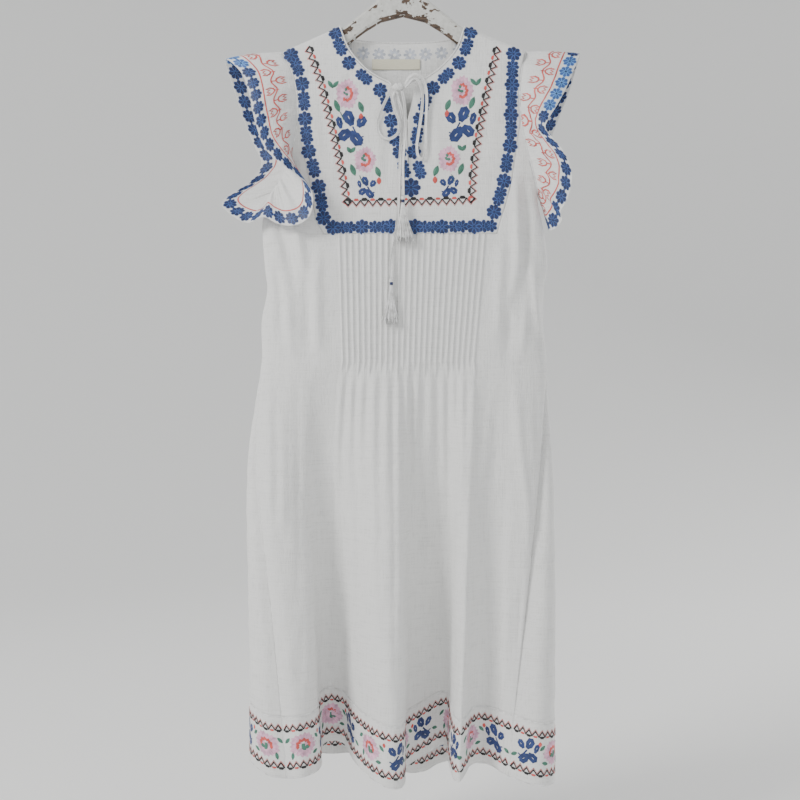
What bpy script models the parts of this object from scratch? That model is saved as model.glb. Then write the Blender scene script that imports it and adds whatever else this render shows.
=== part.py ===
"""Flutter sleeve dress on a flat wooden hanger.

Metres, +Z up, the front faces -Y. The origin is inside the crook of the hanger's hook.
Sizes and tables are in millimetres: across is +X, forward is -Y, and drop is measured
down from the neck points, where the shoulder seams meet the neckline.
"""
import math

import bmesh
import bpy
import numpy as np
from mathutils import Vector

# Driving sizes
MM = 0.001
HOOK_TO_NECK = 145.0
CLOTH = 1.6
SEAM = 0.3
SHOULDER_DROP = 35.0
SHOULDER_ROLL = 8.0
UNDERARM = 244.0
YOKE_BOTTOM = 302.0
RELEASE = 484.0
HEM = 1062.0
BAND = 82.0
LAY = 0.3

# Rows of the yoke by their drop at its outer edge; the first strip row is beside the yoke
YOKE_ROWS = (35, 36.5, 39, 44, 62, 80, 98, 126, 154, 180, 205, 226, 244, 272, 302)
SLIT_ROW = 6
STRIP_ROW = 8
BACK_ROWS = (35, 36.5, 39, 44, 62, 84, 110, 140, 170, 205, 228, 244)
SIDE_ROWS = (244, 272, 302.3, 360, 420, 484)

STRIP_EVEN = 205.0
STRIP_COLUMNS = 7
SLIT_START = 90.0
FORWARD = np.array((0.0, -1.0, 0.0))

# Rows of the skirt and of the hem band, as falls from the release line (0) to the hem (1)
BAND_FALL = 1 - BAND / (HEM - RELEASE)
BAND_TOP = (0.05, 0.16, 0.34, 0.58, BAND_FALL - SEAM / (HEM - RELEASE))
BAND_ROWS = (BAND_FALL, (1 + BAND_FALL) / 2, 1.0)
FRONT_COLUMNS = 55
BACK_COLUMNS = 41

# Pintucks of the bodice, from the yoke to the release line
TUCKS = 25
TUCK_WIDTH = 3.0
TUCK_RAISE = 1.4
TUCK_FIELD_TOP = (-91.0, 116.0)
TUCK_FIELD_END = (-85.0, 100.0)

# Gathers round each armhole
GATHERS = 18
GATHER_RAISE = 1.8
SLEEVE_CLOTH = 1.2
SLEEVE_START = 1.5
SLEEVE_INWARD = 1.2
SLEEVE_UNDER = 0.9
SLEEVE_ROWS = 6

# Body outline: drop, left and right half widths, front and back depths
BODY = (
    (-80, 232, 232, 9, 9),
    (0, 232, 232, 9, 9),
    (60, 228, 228, 13, 11),
    (133, 220, 222, 17, 14),
    (200, 203, 206, 20, 17),
    (244, 191, 194, 22, 19),
    (280, 203, 200, 24, 21),
    (315, 202, 206, 27, 23),
    (351, 199, 208, 30, 25),
    (380, 196, 203, 32, 27),
    (425, 204, 202, 35, 29),
    (484, 204, 207, 38, 31),
    (540, 213, 210, 40, 32),
    (626, 223, 214, 42, 33),
    (713, 225, 216, 42, 33),
    (829, 222, 217, 42, 33),
    (974, 219, 215, 42, 33),
    (1100, 217, 213, 42, 33),
)

# Armhole edge: drop, left and right distance across
ARMHOLE = (
    (35, -173, 177),
    (70, -158, 169),
    (104, -151, 167),
    (138, -151, 169),
    (170, -156, 175),
    (206, -167, 184),
    (232, -180, 191),
    (244, -191, 194),
)

# Yoke's outer edge below the armhole's narrowest place: drop, left and right
YOKE_EDGE = (
    (138, -151, 169),
    (182, -144, 162),
    (233, -133, 154),
    (280, -124, 140),
    (302, -113, 134),
)

# Neckline and slit, each from the neck point to the centre front: across, drop
NECK_LEFT = ((-94, 0), (-79, 36), (-55, 64), (-33, 79), (-14, 87), (2, 90))
NECK_RIGHT = ((92, 0), (78, 36), (54, 64), (30, 81), (18, 88))
SLIT_LEFT = ((2, 90), (3, 115), (6, 140))
SLIT_RIGHT = ((18, 88), (12, 115), (6, 140))
CENTRE_FOOT = (9, 302)
NECK_BACK = ((-94, 0), (-84, 11), (-60, 18), (-2, 21), (58, 18), (82, 11), (92, 0))

# Folds of the skirt front, left side seam to right: place at the release line,
# then across, forward and drop at the hem
FRONT_FOLDS = (
    (-204, -160, 75, 1061),
    (-190, -138, 81, 1057),
    (-152, -121, 66, 1055),
    (-130, -116, 42, 1052),
    (-118, -120, 12, 1044),
    (-106, -114, -6, 1038),
    (-92, -101, -12, 1037),
    (-77, -84, -2, 1040),
    (-65, -71, 25, 1053),
    (-52, -56, 48, 1061),
    (-33, -35, 76, 1067),
    (-16, -17, 86, 1071),
    (-3, -3, 78, 1073),
    (4, 3, 52, 1072),
    (12, 2, 22, 1069),
    (25, 12, 4, 1065),
    (39, 32, -8, 1056),
    (54, 51, -11, 1045),
    (67, 64, 2, 1040),
    (75, 66, 34, 1054),
    (84, 69, 62, 1064),
    (93, 77, 77, 1065),
    (101, 87, 63, 1058),
    (112, 94, 43, 1055),
    (126, 109, 31, 1054),
    (144, 126, 38, 1057),
    (163, 136, 50, 1060),
    (207, 146, 62, 1062),
)

# Folds of the skirt back, left side seam to right, in the same columns
BACK_FOLDS = (
    (-204, -160, 75, 1061),
    (-203, -185, 74, 1058),
    (-200, -208, 54, 1050),
    (-195, -218, 25, 1048),
    (-186, -212, -4, 1050),
    (-172, -197, -30, 1056),
    (-154, -175, -52, 1062),
    (-135, -152, -57, 1064),
    (-114, -126, -40, 1064),
    (-94, -105, -34, 1064),
    (-73, -87, -50, 1068),
    (-52, -65, -66, 1074),
    (-31, -41, -62, 1080),
    (-10, -16, -44, 1086),
    (11, 7, -34, 1092),
    (32, 32, -46, 1094),
    (53, 56, -64, 1088),
    (74, 83, -60, 1082),
    (95, 106, -42, 1080),
    (116, 131, -34, 1078),
    (136, 158, -44, 1074),
    (157, 186, -36, 1070),
    (176, 205, -14, 1068),
    (190, 213, 10, 1070),
    (199, 214, 38, 1073),
    (204, 206, 66, 1072),
    (206, 180, 80, 1069),
    (207, 146, 62, 1062),
)

# Sleeves, round the ring from the shoulder down the front and up the back:
# armhole drop and side (1 front, -1 back), bulge, then the hem's across, drop, forward
LEFT_SLEEVE = (
    (35, 0, 4, -258, 46, 0),
    (60, 1, 6, -232, 70, 16),
    (84, 1, 7, -219, 104, 29),
    (110, 1, 8, -209, 146, 41),
    (134, 1, 8, -195, 184, 50),
    (156, 1, 7, -173, 208, 58),
    (176, 1, 5, -151, 225, 62),
    (192, 1, 3, -133, 239, 62),
    (205, 1, 1, -126, 255, 56),
    (214, 1, 0, -129, 277, 49),
    (222, 1, 0, -143, 290, 43),
    (229, 1, 0, -162, 293, 38),
    (235, 1, 0, -181, 288, 33),
    (240, 1, 0, -199, 279, 28),
    (244, 0, 0, -223, 286, 20),
    (240, -1, 3, -247, 273, 8),
    (232, -1, 6, -263, 255, -4),
    (222, -1, 6, -255, 240, -16),
    (206, -1, 4, -225, 217, -24),
    (186, -1, 3, -209, 191, -28),
    (160, -1, 5, -220, 163, -31),
    (124, -1, 7, -236, 124, -29),
    (78, -1, 7, -248, 84, -20),
)
RIGHT_SLEEVE = (
    (35, 0, 4, 257, 38, 0),
    (58, 1, 6, 245, 66, 18),
    (80, 1, 7, 233, 94, 29),
    (102, 1, 7, 218, 122, 39),
    (122, 1, 6, 205, 143, 45),
    (140, 1, 5, 200, 157, 48),
    (156, 1, 5, 209, 171, 50),
    (171, 1, 6, 222, 187, 52),
    (185, 1, 7, 232, 204, 51),
    (198, 1, 7, 237, 222, 48),
    (210, 1, 6, 236, 242, 43),
    (220, 1, 4, 230, 260, 37),
    (229, 1, 1, 224, 272, 30),
    (237, 1, 0, 227, 283, 22),
    (244, 0, 0, 217, 294, 12),
    (238, -1, 2, 212, 290, -4),
    (228, -1, 4, 220, 264, -20),
    (208, -1, 6, 231, 228, -31),
    (182, -1, 6, 228, 188, -34),
    (154, -1, 5, 220, 156, -31),
    (126, -1, 6, 230, 124, -27),
    (96, -1, 7, 241, 96, -20),
    (64, -1, 7, 250, 66, -11),
)

# Bow and ties: across and drop of each centreline, and its lift off the cloth
TIE_RADIUS = 1.6
BINDING_RADIUS = 1.2
KNOT = (-7.0, 92.0, 7.6)
KNOT_HALF = (8.5, 5.5, 5.0)
LOOP_LEFT = (
    (-16.4, 94.2, 6.5), (-21.5, 104, 5.0), (-29, 120, 4.0), (-35, 137, 3.6), (-36, 152, 3.4),
    (-30, 163, 3.4), (-19, 166, 3.6), (-9, 160, 4.8), (-4.5, 149, 6.6), (-7, 138, 6.4),
    (-11.5, 126, 4.6), (-14.8, 113, 4.4), (-15.4, 105, 6.0), (-12.6, 98.4, 8.0),
)
LOOP_RIGHT = (
    (2.2, 89, 8.6), (8, 80.5, 11.0), (16, 75.5, 12.5), (26, 79, 11.5), (32, 92, 8.5),
    (34, 108, 5.5), (33.5, 130, 4.5), (32.5, 153, 4), (32, 175, 3.8), (31, 189, 3.8),
    (26, 195, 4), (21, 189, 4), (20, 175, 4), (22.5, 156, 4), (26, 132, 4.4), (28, 108, 5.5),
    (26.5, 96, 8.0), (22.5, 85.5, 10.5), (15, 80.5, 11), (8.0, 87.5, 11.4), (2.0, 93.2, 11.0),
)
TAIL_SHORT = (
    (-1.8, 96.9, 7.8), (1.4, 112, 7.0), (3, 131, 6.6), (3.2, 152, 6.6), (1.5, 176, 6.8),
    (0, 203, 7.2), (0, 228, 8.0), (0, 249, 8.8),
)
TAIL_LONG = (
    (-9, 97.9, 4.6), (-6.5, 110, 3.4), (-2, 126, 3.0), (-1, 140, 2.9), (-2.4, 160, 2.9),
    (-4, 190, 2.9), (-5, 225, 3.0), (-6.5, 262, 3.0), (-10, 300, 3.6), (-14, 322, 5.6),
    (-17, 344, 6.6), (-16.5, 367, 6.9),
)

# Tassels: across, drop and lift of the top, strand length and spread at the foot
TASSEL_SHORT = (0, 249.4, 9.0, 50, 15.0)
TASSEL_LONG = (-16.5, 367.4, 7.0, 48, 10.5)
TASSEL_HEAD = 3.6
TASSEL_NECK = 9.0
TASSEL_SIDES = 12
TASSEL_RINGS = ((0.2, 0), (0.75, 1.2), (1.0, 3.4), (0.85, 5.6), (0.62, 7.0), (0.66, TASSEL_NECK))

# Label inside the back neck: across, drop, half width and half height
LABEL = (-10, 50, 35, 7.5)
LABEL_THICK = 0.6

# Hanger: outline of the left half from the crown to the tip, then its lower edge
HANGER_THICK = 12.0
HANGER_EDGE = 4.5
HANGER_GAP = 1.0
HANGER_CROWN = ((0, -71), (-14, -66), (-27, -52), (-39, -38), (-62, -19), (-84, -1.5))
HANGER_UNDER = ((-150, 50), (-120, 42), (-98, 33), (-79, 24), (-55, 6), (-32, -8), (0, -16))
HOOK_WIRE = 1.9
HOOK_RADIUS = 20.0


def row_at(table, key):
    """Smooth values of a table's columns at a key, read against its first column."""
    rows = np.array(table, float)
    return hermite(rows[:, 0], rows, key)


def hermite(keys, rows, key):
    """Cubic through the rows, with slopes taken across each row's neighbours."""
    last = len(keys) - 1
    i = int(min(max(np.searchsorted(keys, key, side="right") - 1, 0), last - 1))
    span = keys[i + 1] - keys[i]
    t = min(max((key - keys[i]) / span, 0.0), 1.0)
    before, after = max(i - 1, 0), min(i + 2, last)
    slope_a = (rows[i + 1] - rows[before]) / (keys[i + 1] - keys[before]) * span
    slope_b = (rows[after] - rows[i]) / (keys[after] - keys[i]) * span
    square, cube = t * t, t * t * t
    return ((2 * cube - 3 * square + 1) * rows[i] + (cube - 2 * square + t) * slope_a
            + (3 * square - 2 * cube) * rows[i + 1] + (cube - square) * slope_b)


def indexed_row(table, index):
    """Smooth row of a table at a fractional row number."""
    rows = np.array(table, float)
    return hermite(np.arange(len(rows), dtype=float), rows, index)


def resample(points, count, power=1.0):
    """Points spread along a smooth line through the given ones; power crowds the start."""
    fine = np.array([indexed_row(points, i) for i in np.linspace(0, len(points) - 1, 160)])
    lengths = np.concatenate([[0], np.cumsum(np.linalg.norm(np.diff(fine, axis=0), axis=1))])
    wanted = np.linspace(0, 1, count) ** power * lengths[-1]
    return np.array([[np.interp(w, lengths, fine[:, k]) for k in range(fine.shape[1])]
                     for w in wanted])


def place(across, drop, forward):
    """World position of a point given by its distance across, down and forward."""
    return Vector((across * MM, -forward * MM, -(HOOK_TO_NECK + drop) * MM))


def shoulder_line(across):
    """Drop of the shoulder seam at a distance across; level over the neck."""
    neck = abs((NECK_LEFT if across < 0 else NECK_RIGHT)[0][0])
    reach = abs(ARMHOLE[0][1 if across < 0 else 2])
    share = min(max((abs(across) - neck) / (reach - neck), 0.0), 1.0)
    return SHOULDER_DROP * share


def depth(across, drop, side):
    """How far forward the cloth lies above the release line: front is side 1, back -1."""
    _, left, right, front, back = row_at(BODY, drop)
    share = min(abs(across) / (left if across < 0 else right), 1.0)
    rounded = (1 - share ** 3) ** (1 / 3)
    below = min(max((drop - shoulder_line(across)) / SHOULDER_ROLL, 0.0), 1.0)
    roll = math.sqrt(max(1 - (1 - below) ** 2, 0.0))
    return side * max((front if side > 0 else back) * rounded * roll, SEAM / 2)


def upper_point(across, drop, side):
    """Point of the bodice, where the cloth lies flat across the body."""
    return place(across, drop, depth(across, drop, side))


def edge(drop, side):
    """Outer edge of the body's cloth: the armhole, then the side seam."""
    column = 1 if side < 0 else 2
    if drop < UNDERARM:
        return row_at(ARMHOLE, drop)[column]
    return side * row_at(BODY, drop)[column]


def skirt_point(table, index, fall, side):
    """Point of the skirt: fall is 0 at the release line and 1 at the hem."""
    release, across, forward, drop = indexed_row(table, index)
    spread = fall ** 0.8
    folds = np.array(FRONT_FOLDS + BACK_FOLDS, float)
    blended = folds[:, 0] * (1 - spread) + folds[:, 1] * spread
    _, left, right, _, _ = row_at(BODY, RELEASE + (HEM - RELEASE) * fall)
    x = release * (1 - spread) + across * spread
    x *= left / -blended.min() if x < 0 else right / blended.max()
    y = depth(release, RELEASE, side) * (1 - spread) + forward * spread
    return place(x, RELEASE + (drop - RELEASE) * fall, y)


def normals_of(grid, ends=None, tops=None):
    """Unit normals of a grid; ends and tops give the cloth's run across the seams there."""
    along = np.gradient(grid, axis=1)
    down = np.gradient(grid, axis=0)
    if tops is not None:
        for j, run in enumerate(tops):
            down[0, j] = down[0, j] if run is None else run
    if ends is not None:
        for column, runs in zip((0, -1), ends):
            for i, run in enumerate(runs):
                along[i, column] = along[i, column] if run is None else run
    cross = np.cross(down, along)
    return cross / np.maximum(np.linalg.norm(cross, axis=2, keepdims=True), 1e-12)


def new_object(name, mesh, material):
    """Object of the dress in its collection, with its material."""
    body = bpy.data.objects.new(name, mesh)
    body.data.materials.append(material)
    DRESS.objects.link(body)
    return body


def material(name, colour, roughness, metallic=0.0):
    """Plain material of one sub-part."""
    made = bpy.data.materials.new(name)
    made.use_nodes = True
    shader = made.node_tree.nodes["Principled BSDF"]
    shader.inputs["Base Color"].default_value = (*colour, 1.0)
    shader.inputs["Roughness"].default_value = roughness
    shader.inputs["Metallic"].default_value = metallic
    return made


class Sheet:
    """Open sheet of cloth whose corners are shared by place, thickened into a wall."""

    def __init__(self):
        self.points = []
        self.normals = []
        self.raise_by = []
        self.faces = []
        self.known = {}

    def corner(self, point, normal, raised=0.0):
        """Number of the corner at a place, made once."""
        key = tuple(round(value * 1e6) for value in point)
        if key not in self.known:
            self.known[key] = len(self.points)
            self.points.append(np.array(point, float))
            self.normals.append(np.zeros(3))
            self.raise_by.append(raised)
        number = self.known[key]
        self.normals[number] = self.normals[number] + np.array(normal)
        return number

    def grid(self, grid, flip=False, raised=None, ends=None, tops=None):
        """Add the quads of a grid of points."""
        normals = normals_of(grid, ends, tops) * (-1 if flip else 1)
        rows, columns = grid.shape[:2]
        numbers = [[self.corner(grid[i, j], normals[i, j], 0 if raised is None else raised[j])
                    for j in range(columns)] for i in range(rows)]
        for i in range(rows - 1):
            for j in range(columns - 1):
                self.face([numbers[i][j], numbers[i][j + 1], numbers[i + 1][j + 1],
                           numbers[i + 1][j]], flip)
        return numbers

    def face(self, corners, flip):
        """Add one face, turned so that the sheet's outer side is kept."""
        unique = [c for k, c in enumerate(corners) if c != corners[k - 1]]
        if len(unique) > 2:
            self.faces.append(unique[::-1] if flip else unique)

    def bridge(self, upper, lower, flip=False):
        """Triangles between two rows of corners with different counts."""
        def across(number):
            return self.points[number][0]
        i = j = 0
        while i < len(upper) - 1 or j < len(lower) - 1:
            step_upper = j == len(lower) - 1 or (
                i < len(upper) - 1 and across(upper[i + 1]) <= across(lower[j + 1]))
            if step_upper:
                self.face([upper[i], upper[i + 1], lower[j]], flip)
                i += 1
            else:
                self.face([upper[i], lower[j + 1], lower[j]], flip)
                j += 1

    def thicken(self, name, thickness, finish, shift=0.0):
        """Wall of a given thickness round the sheet, as one closed solid."""
        mesh = bmesh.new()
        outer, inner = [], []
        for point, normal, raised in zip(self.points, self.normals, self.raise_by):
            unit = normal / max(np.linalg.norm(normal), 1e-12)
            outer.append(mesh.verts.new(point + unit * (shift + thickness / 2 + raised) * MM))
            inner.append(mesh.verts.new(point + unit * (shift - thickness / 2) * MM))
        sides = {}
        for face in self.faces:
            mesh.faces.new([outer[n] for n in face])
            mesh.faces.new([inner[n] for n in reversed(face)])
            sides.update({pair: face for pair in zip(face, face[1:] + face[:1])})
        for a, b in sides:
            if (b, a) not in sides:
                mesh.faces.new([outer[b], outer[a], inner[a], inner[b]])
        loose = [vert for vert in mesh.verts if not vert.link_faces]
        bmesh.ops.delete(mesh, geom=loose, context="VERTS")
        bmesh.ops.recalc_face_normals(mesh, faces=mesh.faces)
        data = bpy.data.meshes.new(name)
        mesh.to_mesh(data)
        mesh.free()
        return new_object(name, data, finish)


def coons(top, right, bottom, left, levels):
    """Grid of flat points inside four edges, as fabric stretched between them."""
    rows, columns = len(left), len(top)
    grid = np.zeros((rows, columns, 2))
    for i in range(rows):
        v = (levels[i] - levels[0]) / (levels[-1] - levels[0])
        for j in range(columns):
            u = j / (columns - 1)
            ruled = (1 - v) * top[j] + v * bottom[j] + (1 - u) * left[i] + u * right[i]
            corners = ((1 - v) * ((1 - u) * top[0] + u * top[-1])
                       + v * ((1 - u) * bottom[0] + u * bottom[-1]))
            grid[i, j] = ruled - corners
    return grid


def lay_on(flat, side):
    """Flat points across and down, laid on the front or back of the body."""
    return np.array([[upper_point(a, d, side) for a, d in row] for row in flat])


def joined(*parts):
    """Lines end to end, with the shared points once."""
    return np.concatenate([parts[0]] + [part[1:] for part in parts[1:]])


def shoulder_points(side, count):
    """Shoulder seam from the armhole to the neck point, a hair off the seam itself."""
    outer = edge(SHOULDER_DROP, side)
    neck = NECK_LEFT[0][0] if side < 0 else NECK_RIGHT[0][0]
    places = np.linspace(outer, neck, count)
    return np.array([(a, shoulder_line(a)) for a in places])


def yoke_edge(drop, side):
    """Outer edge of the yoke, along the armhole and then across the bodice."""
    table = ARMHOLE if drop < YOKE_EDGE[0][0] else YOKE_EDGE
    return row_at(table, drop)[1 if side < 0 else 2]


def centre_edge(slit):
    """Centre edge of half the yoke: down the slit, then down the centre front."""
    drops = [slit[0][1]]
    foot_drop = CENTRE_FOOT[1]
    for row in YOKE_ROWS[1:]:
        share = (row - YOKE_ROWS[0]) / (YOKE_ROWS[-1] - YOKE_ROWS[0])
        drops.append(SLIT_START + (foot_drop - SLIT_START) * share)
    slit_table = [(drop, across) for across, drop in slit]
    centre = [(slit[-1][1], slit[-1][0]), (foot_drop, CENTRE_FOOT[0])]
    return np.array([(row_at(slit_table if i < SLIT_ROW else centre, drop)[1], drop)
                     for i, drop in enumerate(drops)])


def front_yoke():
    """Embroidered yoke, from the shoulders to the pintucks, slit at the centre front."""
    shoulder, neck = 5, 10
    sheet = Sheet()
    for side, neckline, slit in ((-1, NECK_LEFT, SLIT_LEFT), (1, NECK_RIGHT, SLIT_RIGHT)):
        outer = np.array([(yoke_edge(drop, side), drop) for drop in YOKE_ROWS])
        top = joined(shoulder_points(side, shoulder), resample(neckline, neck, 1.7))
        bottom = resample((outer[-1], CENTRE_FOOT), len(top))
        flat = coons(top, centre_edge(slit), bottom, outer, YOKE_ROWS)
        tops = [FORWARD] * shoulder + [None] * (neck - 1)
        sheet.grid(lay_on(flat, 1), flip=side > 0, tops=tops)
    return sheet.thicken("front_yoke", CLOTH, COTTON)


def side_fractions(count):
    """Shares from the edge inward, closer together where the cloth rounds over."""
    return [1 - math.cos(math.pi / 2 * i / (count - 1)) for i in range(count)]


def tuck_columns(drop):
    """Places across the pintucks at a drop, and how far each stands out."""
    share = (drop - YOKE_BOTTOM) / (RELEASE - YOKE_BOTTOM)
    start = TUCK_FIELD_TOP[0] + (TUCK_FIELD_END[0] - TUCK_FIELD_TOP[0]) * share
    end = TUCK_FIELD_TOP[1] + (TUCK_FIELD_END[1] - TUCK_FIELD_TOP[1]) * share
    places, raised = [], []
    for middle in np.linspace(start, end, TUCKS):
        places += [middle - TUCK_WIDTH / 2, middle, middle + TUCK_WIDTH / 2]
        raised += [0, TUCK_RAISE, 0]
    return places, raised


def strip_shares(drop, count):
    """Shares across a side strip: even at the armhole, rounding over at the side seam."""
    even = [i / (count - 1) for i in range(count)]
    rounding = min(max((drop - STRIP_EVEN) / (UNDERARM - STRIP_EVEN), 0.0), 1.0)
    return [e + (f - e) * rounding for e, f in zip(even, side_fractions(count))]


def front_panel():
    """Front from the armholes and the yoke to the band: pintucks, then loose folds."""
    foot = SIDE_ROWS[2]
    sheet = Sheet()
    strip_drops = YOKE_ROWS[STRIP_ROW:-1] + (foot,)
    for side in (-1, 1):
        strip = []
        for drop in strip_drops:
            outer, inner = edge(drop, side), yoke_edge(drop, side) + side * SEAM
            row = [upper_point(outer + (inner - outer) * f, drop, 1)
                   for f in strip_shares(drop, STRIP_COLUMNS)]
            strip.append(ease_ends(row, (0, 1)) if drop >= UNDERARM else row)
        seam = [FORWARD if drop >= UNDERARM else None for drop in strip_drops]
        sheet.grid(np.array(strip), side > 0, ends=(seam, [None] * len(seam)))
    rows = []
    for drop in SIDE_ROWS[2:]:
        share = (drop - foot) / (RELEASE - foot)
        places, raised = tuck_columns(drop)
        lefts = [edge(drop, -1), yoke_edge(foot, -1) - SEAM + 6 * share]
        rights = [edge(drop, 1), yoke_edge(foot, 1) + SEAM - 4 * share]
        left = [lefts[0] + (lefts[1] - lefts[0]) * f for f in side_fractions(STRIP_COLUMNS)]
        right = [rights[0] + (rights[1] - rights[0]) * f for f in side_fractions(STRIP_COLUMNS)]
        full = left + [(left[-1] + places[0]) / 2] + places
        full += [(right[-1] + places[-1]) / 2] + right[::-1]
        row = [upper_point(a, drop, 1) for a in full]
        rows.append(ease_ends(ease_ends(row, (0, 1)), (-1, -2)))
    plain = [0] * (STRIP_COLUMNS + 1)
    seams = ([FORWARD] * len(rows), [-FORWARD] * len(rows))
    numbers = sheet.grid(np.array(rows), raised=plain + raised + plain, ends=seams)
    skirt = sheet.grid(skirt_grid(FRONT_FOLDS, FRONT_COLUMNS, 1, BAND_TOP), ends=skirt_seams(1, BAND_TOP))
    sheet.bridge(numbers[-1], skirt[0])
    return sheet.thicken("front_panel", CLOTH, COTTON)


def skirt_grid(table, columns, side, falls):
    """Rows of the skirt, down a list of falls, between the side seams."""
    indices = np.linspace(0, len(table) - 1, columns)
    grid = np.array([[skirt_point(table, i, fall, side) for i in indices] for fall in falls])
    return np.array([ease_ends(ease_ends(row, (0, 1)), (-1, -2)) for row in grid])


def skirt_seams(side, falls):
    """Run of the cloth across the left and right side seams of the skirt."""
    last = len(FRONT_FOLDS) - 1
    runs = []
    for near, sign in ((0.5, side), (last - 0.5, -side)):
        runs.append([sign * np.array(skirt_point(FRONT_FOLDS, near, fall, 1)
                                     - skirt_point(BACK_FOLDS, near, fall, -1))
                     for fall in falls])
    return runs


def ease_ends(row, pair):
    """Row whose end point is drawn back from the side seam by half the seam's gap."""
    end, near = pair
    row = np.array(row, float)
    step = row[near] - row[end]
    row[end] += step / np.linalg.norm(step) * SEAM / 2 * MM
    return row


def back_panel():
    """Back in one piece, from the shoulders to the band."""
    columns, shoulder = BACK_COLUMNS, 8
    indices = np.linspace(0, len(BACK_FOLDS) - 1, columns)
    release = np.array([indexed_row(BACK_FOLDS, i)[0] for i in indices])
    share = release / np.where(release < 0, -BACK_FOLDS[0][0], BACK_FOLDS[-1][0])
    half = (columns - 2 * shoulder) // 2 + 1
    neck = joined(resample(NECK_BACK[:4], half, 1.5),
                  resample(NECK_BACK[:2:-1], half, 1.5)[::-1])
    top = joined(shoulder_points(-1, shoulder + 1), neck, shoulder_points(1, shoulder + 1)[::-1])
    under = np.array([(abs(s) * edge(UNDERARM, 1 if s > 0 else -1), UNDERARM) for s in share])
    armholes = [np.array([(edge(drop - 0.001, side), drop) for drop in BACK_ROWS])
                for side in (-1, 1)]
    patch = lay_on(coons(top, armholes[1], under, armholes[0], BACK_ROWS), -1)
    patch[-1] = ease_ends(ease_ends(patch[-1], (0, 1)), (-1, -2))
    tops = [-FORWARD] * (shoulder + 1) + [None] * (columns - 2 * shoulder - 2)
    tops += [-FORWARD] * (shoulder + 1)
    sheet = Sheet()
    under_seam = [None] * (len(patch) - 1)
    sheet.grid(patch, True, ends=(under_seam + [-FORWARD], under_seam + [FORWARD]), tops=tops)
    rows = [patch[-1]]
    for drop in SIDE_ROWS[1:]:
        _, left, right, _, _ = row_at(BODY, drop)
        row = [upper_point(s * (left if s < 0 else right), drop, -1) for s in share]
        rows.append(ease_ends(ease_ends(row, (0, 1)), (-1, -2)))
    lower = skirt_grid(BACK_FOLDS, columns, -1, BAND_TOP)
    skirt_runs = skirt_seams(-1, BAND_TOP)
    seams = ([-FORWARD] * len(rows) + skirt_runs[0], [FORWARD] * len(rows) + skirt_runs[1])
    sheet.grid(np.concatenate([np.array(rows), lower]), True, ends=seams)
    return sheet.thicken("back_panel", CLOTH, COTTON)


def hem_band(name, table, columns, side):
    """Embroidered band sewn on below the skirt."""
    sheet = Sheet()
    seams = skirt_seams(side, BAND_ROWS)
    sheet.grid(skirt_grid(table, columns, side, BAND_ROWS), side < 0, ends=seams)
    return sheet.thicken(name, CLOTH, COTTON)


def sleeve(name, table, hand):
    """Bell of cloth gathered round the armhole and flaring to a wavy hem."""
    columns, rows = GATHERS * 3, SLEEVE_ROWS
    grid = np.zeros((rows, columns + 1, 3))
    for j in range(columns):
        index = len(table) * j / columns
        drop, side, bulge, across, hem_drop, forward = indexed_row(wrapped(table), index + 2)
        drop = min(max(drop, SHOULDER_DROP), UNDERARM)
        side = max(min(side, 1), -1)
        inward = max(0.0, hand * (edge(drop, hand) - across)) / max(abs(forward), 10.0)
        away = SLEEVE_START + min(inward, 1.0) * SLEEVE_INWARD + SLEEVE_UNDER * (drop > 195)
        slope = edge(drop + 1, hand) - edge(drop - 1, hand) if 37 < drop < 242 else 2.0 * hand
        steep = math.hypot(slope, 2.0)
        start_across = edge(drop, hand) + hand * away * 2.0 / steep
        start_drop = drop - hand * away * slope / steep * (drop > 140)
        start_forward = abs(depth(edge(drop, hand) * 0.995, drop, 1 if side > 0 else -1)) * side
        gather = GATHER_RAISE * math.cos(2 * math.pi * GATHERS * j / columns)
        for i in range(rows):
            r = (i / (rows - 1)) ** 0.9
            swell = 4 * r * (1 - r) * bulge + gather * (1 - r) ** 2 * min(4 * r, 1)
            outward = 1 if side >= 0 else -1
            grid[i, j] = place(start_across * (1 - r) + across * r + hand * swell * 0.4,
                               start_drop * (1 - r) + hem_drop * r,
                               start_forward * (1 - r) + forward * r + outward * swell)
    grid[:, columns] = grid[:, 0]
    sheet = Sheet()
    sheet.grid(grid, flip=hand < 0)
    return sheet.thicken(name, SLEEVE_CLOTH, COTTON)


def wrapped(table):
    """A ring's table with two rows repeated at each end, so its ends join smoothly."""
    return table[-2:] + table + table[:3]


def tube(name, route, radius, spacing, finish, lifted=False):
    """Smooth round strand through a route of points given across, down and forward."""
    length = sum(math.dist(a, b) for a, b in zip(route, route[1:]))
    if lifted:
        route = [(a, d, depth(a, d, 1) + lift) for a, d, lift in route]
    points = resample(route, max(int(length / spacing), 6))
    curve = bpy.data.curves.new(name, "CURVE")
    curve.dimensions = "3D"
    curve.bevel_depth = radius * MM
    curve.bevel_resolution = 2
    curve.use_fill_caps = True
    spline = curve.splines.new("POLY")
    spline.points.add(len(points) - 1)
    for target, point in zip(spline.points, points):
        target.co = (*place(*point), 1.0)
    curve.materials.append(finish)
    strand = bpy.data.objects.new(name, curve)
    DRESS.objects.link(strand)
    return strand


def edge_route(points, side, away):
    """Route of a binding just off a cut edge, moved away from the cloth in its plane."""
    line = resample(points, 24)
    tangents = np.gradient(line, axis=0)
    tangents /= np.linalg.norm(tangents, axis=1, keepdims=True)
    moved = line + np.stack([tangents[:, 1], -tangents[:, 0]], axis=1) * away
    return [(a, d, depth(a0, d0, side)) for (a, d), (a0, d0) in zip(moved, line)]


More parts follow.
